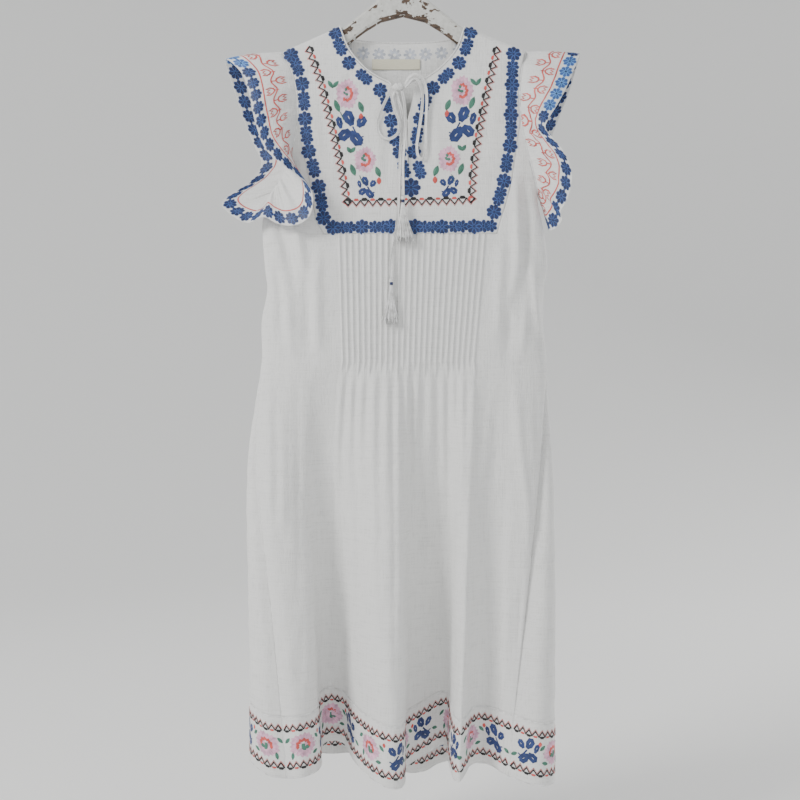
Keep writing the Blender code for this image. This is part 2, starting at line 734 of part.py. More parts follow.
def over_shoulder(neck, inward):
    """Turn of the binding over the hanger's arm, from front to back, at one neck point."""
    return [(neck + inward * 5.3, 7.2, 9.4), (neck + inward * 3.4, 2.2, 7.6),
            (neck + inward * 2.6, -0.9, 4.8), (neck + inward * 2.3, -1.6, 0),
            (neck + inward * 2.8, -1.3, -5.0), (neck + inward * 4.6, 0.4, -8.2),
            (neck + inward * 9.2, 6.2, -9.6)]


def bindings():
    """Narrow bias binding round the neckline, with both ends at the knot."""
    away = BINDING_RADIUS + 0.9
    left = [p for p in edge_route(NECK_LEFT[:5], 1, away)[::-1] if p[1] > 15 and p[0] < -22]
    right = [p for p in edge_route(NECK_RIGHT[:4], 1, -away) if p[1] > 15 and p[0] > 30]
    back = [p for p in edge_route(NECK_BACK, -1, away) if p[1] > 13]
    start = [(-16.2, 89.6, 20.5), (-19.5, 84.0, 18)]
    finish = [(24, 80.5, 18.6), (17, 81.5, 19.5), (10, 86, 20), (5, 90.5, 20.4), (1.8, 92, 20.6)]
    route = start + left + over_shoulder(NECK_LEFT[0][0], 1) + back
    route += over_shoulder(NECK_RIGHT[0][0], -1)[::-1] + right + finish
    tube("neck_binding", route, BINDING_RADIUS, 7.0, BINDING)


def bow_knot():
    """Small knot that gathers the two ties at the left end of the neckline."""
    mesh = bmesh.new()
    bmesh.ops.create_uvsphere(mesh, u_segments=14, v_segments=8, radius=1.0)
    for vert in mesh.verts:
        vert.co = Vector((vert.co.x * KNOT_HALF[0], vert.co.y * KNOT_HALF[2],
                          vert.co.z * KNOT_HALF[1])) * MM
    data = bpy.data.meshes.new("bow_knot")
    mesh.to_mesh(data)
    mesh.free()
    knot = new_object("bow_knot", data, BINDING)
    knot.location = place(KNOT[0], KNOT[1], depth(KNOT[0], KNOT[1], 1) + KNOT[2])
    return knot


def tassel(name, place_at, turn):
    """Tassel: a bound head and its strands, one solid, hanging from the end of a tie."""
    across, drop, lift, length, spread = place_at
    mesh = bmesh.new()
    loops = []
    for radius, down in TASSEL_RINGS:
        loops.append([])
        for k in range(TASSEL_SIDES):
            angle = 2 * math.pi * k / TASSEL_SIDES
            loops[-1].append(mesh.verts.new((radius * TASSEL_HEAD * math.cos(angle),
                                             radius * TASSEL_HEAD * math.sin(angle), -down)))
    mesh.faces.new(loops[0])
    for upper, lower in zip(loops, loops[1:]):
        for k in range(TASSEL_SIDES):
            after = (k + 1) % TASSEL_SIDES
            mesh.faces.new([upper[k], lower[k], lower[after], upper[after]])
    roots = strand_roots(mesh, loops[-1])
    bmesh.ops.recalc_face_normals(mesh, faces=mesh.faces)
    for number, face in enumerate(roots):
        grow_strand(mesh, face, number, length, spread, turn)
    for vert in mesh.verts:
        vert.co = vert.co * MM
    bmesh.ops.recalc_face_normals(mesh, faces=mesh.faces)
    data = bpy.data.meshes.new(name)
    mesh.to_mesh(data)
    mesh.free()
    made = new_object(name, data, BINDING)
    start = depth(across, drop, 1)
    slope = (depth(across, drop + length, 1) - start) / length
    made.location = place(across, drop, start + lift)
    made.rotation_euler = (-math.atan(slope), 0, 0)
    return made


def strand_roots(mesh, rim):
    """Close the head's underside, and give the faces that its strands grow from."""
    centre = mesh.verts.new((0, 0, -TASSEL_NECK))
    middles = []
    for a, b in zip(rim, rim[1:] + rim[:1]):
        middles.append(mesh.verts.new((a.co + b.co) / 2 * 0.55 + centre.co * 0.45))
    outer, between, inner = [], [], []
    for k, middle in enumerate(middles):
        outer.append(mesh.faces.new([rim[k], middle, rim[(k + 1) % len(rim)]]))
        between.append(mesh.faces.new([rim[k], middle, middles[k - 1]]))
        inner.append(mesh.faces.new([middles[k - 1], middle, centre]))
    return outer + between + inner[::len(inner) // 2]


def grow_strand(mesh, face, number, length, spread, turn):
    """Draw one strand out of a face under the tassel's head, spreading as it falls."""
    centre = face.calc_center_median()
    angle = math.atan2(centre.y, centre.x)
    reach = math.hypot(centre.x, centre.y) / TASSEL_HEAD
    own_length = length * (0.9 + 0.1 * math.sin(number * 2.4 + turn))
    for share, width in ((0.5, 0.8), (1.0, 0.45)):
        out = TASSEL_HEAD * reach + (spread - TASSEL_HEAD) * reach * 1.5 * share
        target = Vector((math.cos(angle) * out + turn * share,
                         math.sin(angle) * out * (0.5 if angle < 0 else 0.2),
                         -TASSEL_NECK - own_length * share))
        made = bmesh.ops.extrude_discrete_faces(mesh, faces=[face])["faces"][0]
        middle = made.calc_center_median()
        for vert in made.verts:
            vert.co = target + (vert.co - middle) * width
        face = made


def label():
    """Bare woven label inside the back neck."""
    across, drop, half_width, half_height = LABEL
    inside = CLOTH / 2 + LAY + LABEL_THICK / 2
    columns = np.linspace(across - half_width, across + half_width, 9)
    grid = [[upper_point(a, drop + h, -1) for a in columns] for h in (-half_height, half_height)]
    sheet = Sheet()
    sheet.grid(np.array(grid), flip=True)
    return sheet.thicken("neck_label", LABEL_THICK, LABEL_CLOTH, shift=-inside)


def hanger():
    """Flat wooden hanger whose arms carry the shoulder seams, and its wire hook."""
    halves = []
    for side in (-1, 1):
        seat = CLOTH / 2 + HANGER_GAP
        arm = [(side * a, shoulder_line(side * a) + seat) for a in (98, 152)]
        tip = [(side * 160, shoulder_line(side * 160) + d) for d in (6, 14)]
        crown = [(-side * a, d) for a, d in HANGER_CROWN]
        under = [(-side * a, d) for a, d in HANGER_UNDER]
        halves.append(crown + arm + tip + under)
    outline = halves[0] + halves[1][::-1][1:-1]
    curve = bpy.data.curves.new("hanger_body", "CURVE")
    curve.dimensions = "2D"
    curve.fill_mode = "BOTH"
    curve.extrude = (HANGER_THICK / 2 - HANGER_EDGE) * MM
    curve.bevel_depth = HANGER_EDGE * MM
    curve.bevel_resolution = 1
    curve.offset = -HANGER_EDGE * MM
    spline = curve.splines.new("POLY")
    spline.points.add(len(outline) - 1)
    for target, (across, drop) in zip(spline.points, outline):
        target.co = (across * MM, -(HOOK_TO_NECK + drop) * MM, 0, 1)
    spline.use_cyclic_u = True
    curve.materials.append(WOOD)
    body = bpy.data.objects.new("hanger_body", curve)
    body.rotation_euler = (math.pi / 2, 0, 0)
    DRESS.objects.link(body)
    return body


def hook():
    """Wire hook: a straight shank up from the crown, then the crook round the origin."""
    top = -HOOK_TO_NECK
    centre_drop = top + HOOK_RADIUS
    shank_foot = HANGER_CROWN[0][1] - SEAM
    route = [(0, shank_foot, 0), (0, shank_foot - 12, 0), (0.5, shank_foot - 24, 0)]
    for angle in range(-60, 181, 30):
        swing = math.radians(angle)
        route.append(((HOOK_RADIUS + HOOK_WIRE) * math.cos(swing),
                      centre_drop - (HOOK_RADIUS + HOOK_WIRE) * math.sin(swing), 0))
    return tube("hanger_hook", route, HOOK_WIRE, 6.0, STEEL)


for old in list(bpy.data.objects):
    bpy.data.objects.remove(old, do_unlink=True)
DRESS = bpy.data.collections.new("flutter_sleeve_dress")
bpy.context.scene.collection.children.link(DRESS)
COTTON = material("white_cotton", (0.79, 0.79, 0.77), 0.85)
BINDING = material("white_binding", (0.85, 0.85, 0.83), 0.8)
LABEL_CLOTH = material("cream_label", (0.72, 0.68, 0.5), 0.7)
WOOD = material("painted_wood", (0.62, 0.62, 0.57), 0.6)
STEEL = material("hook_steel", (0.6, 0.6, 0.6), 0.35, 1.0)

front_yoke()
front_panel()
back_panel()
hem_band("hem_band_front", FRONT_FOLDS, FRONT_COLUMNS, 1)
hem_band("hem_band_back", BACK_FOLDS, BACK_COLUMNS, -1)
sleeve("sleeve_left", LEFT_SLEEVE, -1)
sleeve("sleeve_right", RIGHT_SLEEVE, 1)
bindings()
bow_knot()
tube("bow_loop_left", LOOP_LEFT, TIE_RADIUS, 8.0, BINDING, lifted=True)
tube("bow_loop_right", LOOP_RIGHT, TIE_RADIUS, 8.0, BINDING, lifted=True)
tube("tie_tail_short", TAIL_SHORT, TIE_RADIUS, 8.0, BINDING, lifted=True)
tube("tie_tail_long", TAIL_LONG, TIE_RADIUS, 8.0, BINDING, lifted=True)
tassel("tassel_short", TASSEL_SHORT, 2.0)
tassel("tassel_long", TASSEL_LONG, -1.0)
label()
hanger()
hook()
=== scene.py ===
"""Looks of the flutter sleeve dress on its hanger: thin cotton, stitches, tie and tassels.

Tables are in millimetres: across is +X, forward is -Y, drop is down from the neck points.
"""
import math

import bmesh
import bpy
import numpy as np
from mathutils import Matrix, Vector


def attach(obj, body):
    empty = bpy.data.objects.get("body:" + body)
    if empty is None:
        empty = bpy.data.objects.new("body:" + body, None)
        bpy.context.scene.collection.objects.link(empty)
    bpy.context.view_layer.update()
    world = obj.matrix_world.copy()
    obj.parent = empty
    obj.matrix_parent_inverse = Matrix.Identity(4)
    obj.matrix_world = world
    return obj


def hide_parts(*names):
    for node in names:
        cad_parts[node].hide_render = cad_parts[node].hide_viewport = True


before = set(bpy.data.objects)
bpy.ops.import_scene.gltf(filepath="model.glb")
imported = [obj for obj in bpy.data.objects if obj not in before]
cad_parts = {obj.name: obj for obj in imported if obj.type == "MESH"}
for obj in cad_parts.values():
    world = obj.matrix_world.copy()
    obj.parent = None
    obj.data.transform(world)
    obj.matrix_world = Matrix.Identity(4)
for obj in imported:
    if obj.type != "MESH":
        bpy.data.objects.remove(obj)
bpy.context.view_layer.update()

# Driving sizes; the strips beside the yoke have even columns down to STRIP_EVEN
MM = 0.001
HOOK_TO_NECK = 145.0
CLOTH = 1.6
SEAM = 0.3
SHOULDER_DROP = 35.0
SHOULDER_ROLL = 8.0
UNDERARM = 244.0
YOKE_BOTTOM = 302.0
RELEASE = 484.0
HEM = 1062.0
BAND = 82.0
LAY = 0.3
STRIP_EVEN = 205.0

# Top of the hem band, as a share of the fall from the release line (0) to the hem (1)
BAND_FALL = 1 - BAND / (HEM - RELEASE)

# Pintucks of the bodice, from the yoke to the release line
TUCKS = 25
TUCK_RAISE = 1.4
TUCK_FIELD_TOP = (-91.0, 116.0)
TUCK_FIELD_END = (-85.0, 100.0)

# Gathers round each armhole
GATHERS = 18
GATHER_RAISE = 1.8
SLEEVE_START = 1.5
SLEEVE_INWARD = 1.2
SLEEVE_UNDER = 0.9

# Body outline: drop, left and right half widths, front and back depths
BODY = (
    (-80, 232, 232, 9, 9),
    (0, 232, 232, 9, 9),
    (60, 228, 228, 13, 11),
    (133, 220, 222, 17, 14),
    (200, 203, 206, 20, 17),
    (244, 191, 194, 22, 19),
    (280, 203, 200, 24, 21),
    (315, 202, 206, 27, 23),
    (351, 199, 208, 30, 25),
    (380, 196, 203, 32, 27),
    (425, 204, 202, 35, 29),
    (484, 204, 207, 38, 31),
    (540, 213, 210, 40, 32),
    (626, 223, 214, 42, 33),
    (713, 225, 216, 42, 33),
    (829, 222, 217, 42, 33),
    (974, 219, 215, 42, 33),
    (1100, 217, 213, 42, 33),
)

# Armhole edge: drop, left and right distance across
ARMHOLE = (
    (35, -173, 177),
    (70, -158, 169),
    (104, -151, 167),
    (138, -151, 169),
    (170, -156, 175),
    (206, -167, 184),
    (232, -180, 191),
    (244, -191, 194),
)

# Yoke's outer edge below the armhole's narrowest place: drop, left and right
YOKE_EDGE = (
    (138, -151, 169),
    (182, -144, 162),
    (233, -133, 154),
    (280, -124, 140),
    (302, -113, 134),
)

# Neckline and slit, each from the neck point to the centre front: across, drop
NECK_LEFT = ((-94, 0), (-79, 36), (-55, 64), (-33, 79), (-14, 87), (2, 90))
NECK_RIGHT = ((92, 0), (78, 36), (54, 64), (30, 81), (18, 88))
SLIT_LEFT = ((2, 90), (3, 115), (6, 140))
SLIT_RIGHT = ((18, 88), (12, 115), (6, 140))
CENTRE_FOOT = (9, 302)
NECK_BACK = ((-94, 0), (-84, 11), (-60, 18), (-2, 21), (58, 18), (82, 11), (92, 0))

# Folds of the skirt front, left side seam to right: place at the release line,
# then across, forward and drop at the hem
FRONT_FOLDS = (
    (-204, -160, 75, 1061),
    (-190, -138, 81, 1057),
    (-152, -121, 66, 1055),
    (-130, -116, 42, 1052),
    (-118, -120, 12, 1044),
    (-106, -114, -6, 1038),
    (-92, -101, -12, 1037),
    (-77, -84, -2, 1040),
    (-65, -71, 25, 1053),
    (-52, -56, 48, 1061),
    (-33, -35, 76, 1067),
    (-16, -17, 86, 1071),
    (-3, -3, 78, 1073),
    (4, 3, 52, 1072),
    (12, 2, 22, 1069),
    (25, 12, 4, 1065),
    (39, 32, -8, 1056),
    (54, 51, -11, 1045),
    (67, 64, 2, 1040),
    (75, 66, 34, 1054),
    (84, 69, 62, 1064),
    (93, 77, 77, 1065),
    (101, 87, 63, 1058),
    (112, 94, 43, 1055),
    (126, 109, 31, 1054),
    (144, 126, 38, 1057),
    (163, 136, 50, 1060),
    (207, 146, 62, 1062),
)

# Folds of the skirt back, left side seam to right, in the same columns
BACK_FOLDS = (
    (-204, -160, 75, 1061),
    (-203, -185, 74, 1058),
    (-200, -208, 54, 1050),
    (-195, -218, 25, 1048),
    (-186, -212, -4, 1050),
    (-172, -197, -30, 1056),
    (-154, -175, -52, 1062),
    (-135, -152, -57, 1064),
    (-114, -126, -40, 1064),
    (-94, -105, -34, 1064),
    (-73, -87, -50, 1068),
    (-52, -65, -66, 1074),
    (-31, -41, -62, 1080),
    (-10, -16, -44, 1086),
    (11, 7, -34, 1092),
    (32, 32, -46, 1094),
    (53, 56, -64, 1088),
    (74, 83, -60, 1082),
    (95, 106, -42, 1080),
    (116, 131, -34, 1078),
    (136, 158, -44, 1074),
    (157, 186, -36, 1070),
    (176, 205, -14, 1068),
    (190, 213, 10, 1070),
    (199, 214, 38, 1073),
    (204, 206, 66, 1072),
    (206, 180, 80, 1069),
    (207, 146, 62, 1062),
)

# Sleeves, round the ring from the shoulder down the front and up the back:
# armhole drop and side (1 front, -1 back), bulge, then the hem's across, drop, forward
LEFT_SLEEVE = (
    (35, 0, 4, -258, 46, 0),
    (60, 1, 6, -232, 70, 16),
    (84, 1, 7, -219, 104, 29),
    (110, 1, 8, -209, 146, 41),
    (134, 1, 8, -195, 184, 50),
    (156, 1, 7, -173, 208, 58),
    (176, 1, 5, -151, 225, 62),
    (192, 1, 3, -133, 239, 62),
    (205, 1, 1, -126, 255, 56),
    (214, 1, 0, -129, 277, 49),
    (222, 1, 0, -143, 290, 43),
    (229, 1, 0, -162, 293, 38),
    (235, 1, 0, -181, 288, 33),
    (240, 1, 0, -199, 279, 28),
    (244, 0, 0, -223, 286, 20),
    (240, -1, 3, -247, 273, 8),
    (232, -1, 6, -263, 255, -4),
    (222, -1, 6, -255, 240, -16),
    (206, -1, 4, -225, 217, -24),
    (186, -1, 3, -209, 191, -28),
    (160, -1, 5, -220, 163, -31),
    (124, -1, 7, -236, 124, -29),
    (78, -1, 7, -248, 84, -20),
)
RIGHT_SLEEVE = (
    (35, 0, 4, 257, 38, 0),
    (58, 1, 6, 245, 66, 18),
    (80, 1, 7, 233, 94, 29),
    (102, 1, 7, 218, 122, 39),
    (122, 1, 6, 205, 143, 45),
    (140, 1, 5, 200, 157, 48),
    (156, 1, 5, 209, 171, 50),
    (171, 1, 6, 222, 187, 52),
    (185, 1, 7, 232, 204, 51),
    (198, 1, 7, 237, 222, 48),
    (210, 1, 6, 236, 242, 43),
    (220, 1, 4, 230, 260, 37),
    (229, 1, 1, 224, 272, 30),
    (237, 1, 0, 227, 283, 22),
    (244, 0, 0, 217, 294, 12),
    (238, -1, 2, 212, 290, -4),
    (228, -1, 4, 220, 264, -20),
    (208, -1, 6, 231, 228, -31),
    (182, -1, 6, 228, 188, -34),
    (154, -1, 5, 220, 156, -31),
    (126, -1, 6, 230, 124, -27),
    (96, -1, 7, 241, 96, -20),
    (64, -1, 7, 250, 66, -11),
)

# Bow and ties: across and drop of each centreline, and its lift off the cloth
BINDING_RADIUS = 1.2
KNOT = (-7.0, 92.0, 7.6)
KNOT_HALF = (8.5, 5.5, 5.0)
LOOP_LEFT = (
    (-16.4, 94.2, 6.5), (-21.5, 104, 5.0), (-29, 120, 4.0), (-35, 137, 3.6), (-36, 152, 3.4),
    (-30, 163, 3.4), (-19, 166, 3.6), (-9, 160, 4.8), (-4.5, 149, 6.6), (-7, 138, 6.4),
    (-11.5, 126, 4.6), (-14.8, 113, 4.4), (-15.4, 105, 6.0), (-12.6, 98.4, 8.0),
)
LOOP_RIGHT = (
    (2.2, 89, 8.6), (8, 80.5, 11.0), (16, 75.5, 12.5), (26, 79, 11.5), (32, 92, 8.5),
    (34, 108, 5.5), (33.5, 130, 4.5), (32.5, 153, 4), (32, 175, 3.8), (31, 189, 3.8),
    (26, 195, 4), (21, 189, 4), (20, 175, 4), (22.5, 156, 4), (26, 132, 4.4), (28, 108, 5.5),
    (26.5, 96, 8.0), (22.5, 85.5, 10.5), (15, 80.5, 11), (8.0, 87.5, 11.4), (2.0, 93.2, 11.0),
)
TAIL_SHORT = (
    (-1.8, 96.9, 7.8), (1.4, 112, 7.0), (3, 131, 6.6), (3.2, 152, 6.6), (1.5, 176, 6.8),
    (0, 203, 7.2), (0, 228, 8.0), (0, 249, 8.8),
)
TAIL_LONG = (
    (-9, 97.9, 4.6), (-6.5, 110, 3.4), (-2, 126, 3.0), (-1, 140, 2.9), (-2.4, 160, 2.9),
    (-4, 190, 2.9), (-5, 225, 3.0), (-6.5, 262, 3.0), (-10, 300, 3.6), (-14, 322, 5.6),
    (-17, 344, 6.6), (-16.5, 367, 6.9),
)

# Tassels: across, drop and lift of the top, strand length and spread at the foot
TASSEL_SHORT = (0, 249.4, 9.0, 50, 15.0)
TASSEL_LONG = (-16.5, 367.4, 7.0, 48, 10.5)

# Label inside the back neck: across, drop, half width and half height
LABEL = (-10, 50, 35, 7.5)
LABEL_THICK = 0.6

# How much the creases and the crumple stand out on the front and the back
FRONT_GAIN = 3.0
SKIRT_GAIN = 1.6
BACK_GAIN = 2.4
CRUMPLE = 0.9
SKIRT_CRUMPLE = 1.7

# Soft ridges and troughs of each panel: height, width and the line that they follow
YOKE_CREASES = (
    (1.5, 9, ((-132, 62), (-108, 110), (-100, 152))),
    (-1.3, 8, ((-118, 100), (-112, 160), (-106, 212))),
    (1.2, 8, ((-40, 120), (-34, 170), (-30, 236))),
    (-1.0, 7, ((-20, 150), (-22, 200), (-30, 258))),
    (1.1, 8, ((45, 110), (50, 160), (46, 222))),
    (1.6, 9, ((132, 62), (113, 100), (105, 150))),
    (-1.3, 8, ((122, 110), (116, 170), (104, 222))),
    (0.9, 10, ((-90, 272), (-20, 266), (60, 270))),
    (-1.1, 7, ((-70, 64), (-82, 92), (-84, 126))),
    (1.0, 7, ((70, 70), (74, 100), (70, 136))),
)
FRONT_CREASES = (
    (2.2, 7, ((-172, 250), (-152, 300), (-141, 362))),
    (-1.8, 7, ((-186, 264), (-168, 322), (-150, 402))),
    (1.7, 7, ((-152, 196), (-147, 240), (-139, 292))),
    (2.0, 8, ((-121, 318), (-123, 402), (-119, 482))),
    (-1.6, 7, ((-139, 360), (-136, 422), (-134, 482))),
    (1.8, 8, ((-168, 380), (-162, 432), (-158, 482))),
    (-1.4, 6, ((-184, 342), (-176, 392), (-172, 452))),
    (2.6, 8, ((163, 216), (163, 290), (163, 352), (152, 398))),
    (2.1, 7, ((185, 342), (192, 408), (200, 448))),
    (-2.2, 7, ((176, 232), (177, 300), (173, 362))),
    (1.6, 8, ((141, 308), (137, 380), (133, 452))),
    (-1.6, 7, ((152, 410), (150, 450), (146, 482))),
    (1.3, 6, ((176, 396), (172, 440), (168, 482))),
)
SKIRT_CREASES = (
    (-1.6, 5, ((-68, 505), (-66, 660), (-64, 884))),
    (1.4, 5, ((-42, 505), (-40, 690), (-38, 905))),
    (-1.5, 5, ((-14, 500), (-12, 702), (-12, 932))),
    (1.8, 6, ((129, 518), (118, 600), (107, 676))),
    (2.8, 7, ((159, 505), (164, 592), (173, 672), (178, 738))),
    (2.2, 6, ((-170, 556), (-169, 640), (-168, 722))),
    (1.8, 6, ((-190, 500), (-187, 622), (-185, 764))),
    (-1.5, 5, ((-150, 500), (-148, 640), (-146, 824))),
    (1.2, 5, ((-132, 700), (-133, 850), (-136, 984))),
    (-1.8, 6, ((190, 518), (195, 642), (197, 804))),
    (1.6, 6, ((150, 700), (146, 850), (141, 984))),
    (-1.3, 5, ((167, 760), (164, 880), (160, 1002))),
    (1.2, 6, ((30, 560), (34, 702), (35, 904))),
    (-1.2, 5, ((51, 600), (54, 762), (53, 952))),
    (1.3, 5, ((86, 560), (80, 700), (74, 860))),
    (-1.2, 4, ((-96, 640), (-104, 790), (-108, 930))),
    (1.6, 4, ((-213, 655), (-204, 664), (-194, 673))),
    (1.4, 4, ((-213, 690), (-203, 700), (-193, 706))),
    (1.1, 5, ((8, 760), (4, 900), (3, 1010))),
)
BACK_CREASES = (
    (2.0, 8, ((-120, 90), (-104, 150), (-96, 226))),
    (-1.6, 8, ((-96, 120), (-84, 200), (-80, 290))),
    (1.8, 9, ((118, 84), (104, 150), (98, 232))),
    (-1.5, 8, ((92, 130), (84, 210), (82, 300))),
    (1.4, 9, ((-30, 70), (-24, 150), (-26, 240))),
    (-1.2, 9, ((28, 90), (30, 170), (24, 262))),
    (2.0, 8, ((-160, 300), (-150, 400), (-146, 520))),
    (-1.7, 8, ((-110, 330), (-106, 450), (-104, 600))),
    (1.8, 8, ((-50, 340), (-54, 470), (-52, 640))),
    (-1.5, 8, ((4, 350), (2, 480), (0, 660))),
    (1.9, 8, ((60, 340), (62, 470), (60, 640))),
    (-1.6, 8, ((112, 320), (112, 440), (110, 600))),
    (2.1, 8, ((164, 300), (158, 400), (154, 520))),
    (1.5, 6, ((-120, 700), (-124, 840), (-126, 980))),
    (-1.4, 6, ((-20, 720), (-22, 860), (-24, 1000))),
    (1.5, 6, ((90, 700), (94, 840), (96, 990))),
)

# Embroidery of the yoke: centres of the flowers, lines of the border, and the sprays
YOKE_CHAIN_LEFT = (
    (-161.3, 42.6), (-152.5, 60.3), (-145.2, 85.2), (-142.2, 110), (-140.7, 136.2),
    (-138.3, 159.4), (-135.2, 183.2), (-128, 207.1), (-120.8, 234), (-116.7, 256.3),
    (-113.6, 279.5),
)
YOKE_CHAIN_FOOT = (
    (-99.9, 293.3), (-81.4, 293.4), (-58.5, 292.7), (-35.7, 292.7), (-17.2, 292), (-0.1, 292),
    (17, 292), (35.6, 292.7), (55.5, 292.7), (78.4, 291.9), (101.2, 291.8), (119.9, 291),
)
YOKE_CHAIN_RIGHT = (
    (159.1, 41.1), (157.5, 64.6), (156.7, 86.5), (155.8, 108.4), (155, 130.2), (154.9, 151.9),
    (153.4, 175.1), (148.5, 199.7), (144.6, 225.6), (138.2, 247.4), (130, 270.6),
)
NECK_CHAIN_LEFT = (
    (-97.3, 10.5), (-90.7, 31.2), (-77.7, 54.8), (-56.1, 75.4), (-33.1, 94.4), (-23, 114.8),
    (-17.2, 139.5), (-12.9, 162.7), (-5.1, 184.4), (1.4, 209),
)
NECK_CHAIN_RIGHT = (
    (97.3, 9), (91.4, 31.2), (80.5, 54.8), (61.7, 73.9), (43, 91.5), (31.5, 113.3), (24.3, 136.6),
    (20, 160.5), (15.7, 184.4), (23.5, 210.4),
)
SLIT_FLOWER = (11.4, 235.9)
BORDER_LEFT = (
    (-141.2, 32.4), (-130.9, 60.5), (-122.2, 85.4), (-116.3, 110.2), (-104.7, 156.7),
    (-94.5, 201.6), (-87.3, 239.2), (-84.3, 262.3),
)
BORDER_FOOT = (
    (-84.3, 262.3), (-32.9, 261.7), (8.5, 261), (52.8, 260.2), (102.8, 257.8),
)
BORDER_RIGHT = (
    (141.1, 32.4), (130.8, 73.6), (120.5, 120.4), (111.7, 166.8), (105.1, 214), (102.8, 257.8),
)
SPRAY_LEFT = (
    ("crook", -100.6, 86.2, 12, 14),
    ("rose", -80.4, 100.2, 31, 42),
    ("leaf", -94.7, 117.6, 8, 20),
    ("leaf", -60.3, 119.1, 8, 18),
    ("bud", -60.3, 133.7, 7, 12),
    ("stem", -87.5, 132.2, 5, 12),
    ("wings", -71, 151.1, 34, 52),
    ("crook", -74.5, 181.5, 9, 11),
    ("rose", -54.4, 196, 30, 36),
    ("leaf", -71.6, 210.4, 8, 19),
    ("leaf", -35.8, 213.3, 8, 17),
    ("bud", -34.4, 226.3, 7, 11),
    ("stem", -60.1, 223.4, 4, 10),
    ("wings", -50.1, 236.4, 22, 30),
)
SPRAY_RIGHT = (
    ("crook", 104.8, 82.6, 12, 14),
    ("rose", 84.7, 95.8, 31, 42),
    ("leaf", 99, 113.2, 8, 20),
    ("leaf", 64.5, 116.2, 8, 18),
    ("bud", 63, 129.3, 7, 12),
    ("stem", 91.7, 127.8, 5, 12),
    ("wings", 80.2, 145.2, 34, 52),
    ("crook", 84.4, 178.5, 9, 11),
    ("rose", 65.8, 194.5, 30, 36),
    ("leaf", 82.9, 208.9, 8, 19),
    ("leaf", 47.1, 211.9, 8, 17),
    ("bud", 45.7, 224.9, 7, 11),
    ("stem", 71.4, 221.9, 4, 10),
    ("wings", 64.3, 234.9, 22, 30),
)

# Hem band: height of the lower border over the hem, and of the upper border over that
HEM_BORDER = 14.0
HEM_BORDER_GAP = 50.0

# Sleeves: height of the flower chain and of the red line over the hem, and where the
# flowers catch the sun, as shares round the hem
SLEEVE_CHAIN = 11.5
SLEEVE_LINE = 25.0
LEFT_SUNLIT = (0.0, 0.06)
RIGHT_SUNLIT = (0.02, 0.2)

# Flat cuts in metres: width and length
FRONT_BAND = (0.59, 0.083)
BACK_BAND = (0.75, 0.083)

# Cloth thickness in one layer, two and three; columns to a pintuck; tape and tassel strands
VOILE = 0.5
YOKE_VOILE = 0.6
BAND_VOILE = 0.9
TUCK_COLUMNS = 7
TAPE_WIDTH = 4.2
STRANDS = 64
STRAND_SIDES = 5
STRAND_STEPS = 9
STRAND_RADIUS = 0.6
STRANDS_START = 9.0
GOLDEN_ANGLE = 2.39996

# Radii of the embroidered flowers, and the pitch and height of the borders' teeth
YOKE_FLOWER = 11.2
SMALL_FLOWER = 10.6
SLIT_RADIUS = 14.0
YOKE_TEETH = (11.4, 7.6)
BAND_TEETH = (9.6, 6.6)
BAND_REPEAT = 88
SLEEVE_FLOWER_STEP = 21.5
TULIP_STEP = 38
TULIP = 14.0

# Blue leaves of a cluster: across and drop from its middle, length, width and angle
BLUE_CLUSTER = (
    (-4.3, -9.5, 16.5, 10.6, -2.08),
    (7.6, -6.2, 12.4, 9.4, -0.87),
    (-8.6, 5.0, 14.0, 10.8, 2.52),
    (2.2, 8.2, 17.5, 11.2, 0.75),
    (-13.5, -5.5, 12.4, 6.2, -1.9),
)

# Way of the binding over a neck point: inward of it, drop and forward
SHOULDER_TURN = (
    (5.3, 7.2, 9.4),
    (3.4, 2.2, 7.6),
    (2.6, -0.9, 4.8),
    (2.3, -1.6, 0),
    (2.8, -1.3, -5.0),
    (4.6, 0.4, -8.2),
    (9.2, 6.2, -9.6),
)

# Camera, room and light
CAMERA = (-0.00435, -1.5, -0.6844)
LENS = 46.55
FLOOR = -1.36
ROOM_COLOUR = (0.93, 0.93, 0.92)
COTTON_WHITE = (0.79, 0.79, 0.78)
KEY_WATTS = 96.0
FILL_WATTS = 12.0
BACK_WATTS = 55.0
SKY_STRENGTH = 0.52

# Colours of the embroidery threads, the tassels' yarn and the seams
THREAD_COLOURS = {
    "navy": (0.010, 0.022, 0.090),
    "blue": (0.045, 0.11, 0.34),
    # Lighter blue painted on the sunlit flowers as their sunlight
    "blue_light": (0.14, 0.38, 0.82),
    "cluster_blue": (0.014, 0.036, 0.15),
    "black": (0.009, 0.008, 0.010),
    "white": (0.72, 0.72, 0.71),
    "yarn": (0.86, 0.86, 0.85),
    "pink": (0.72, 0.42, 0.56),
    "pink_deep": (0.60, 0.30, 0.44),
    "red": (0.62, 0.085, 0.07),
    "sleeve_red": (0.62, 0.10, 0.085),
    "green": (0.055, 0.19, 0.13),
    "green_dark": (0.03, 0.10, 0.07),
    # Grey of the centre front join: painted shade
    "seam": (0.42, 0.41, 0.40),
    # Pale blue painted inside the back neck as the chain's shade seen through the cloth
    "faint": (0.50, 0.53, 0.60),
}


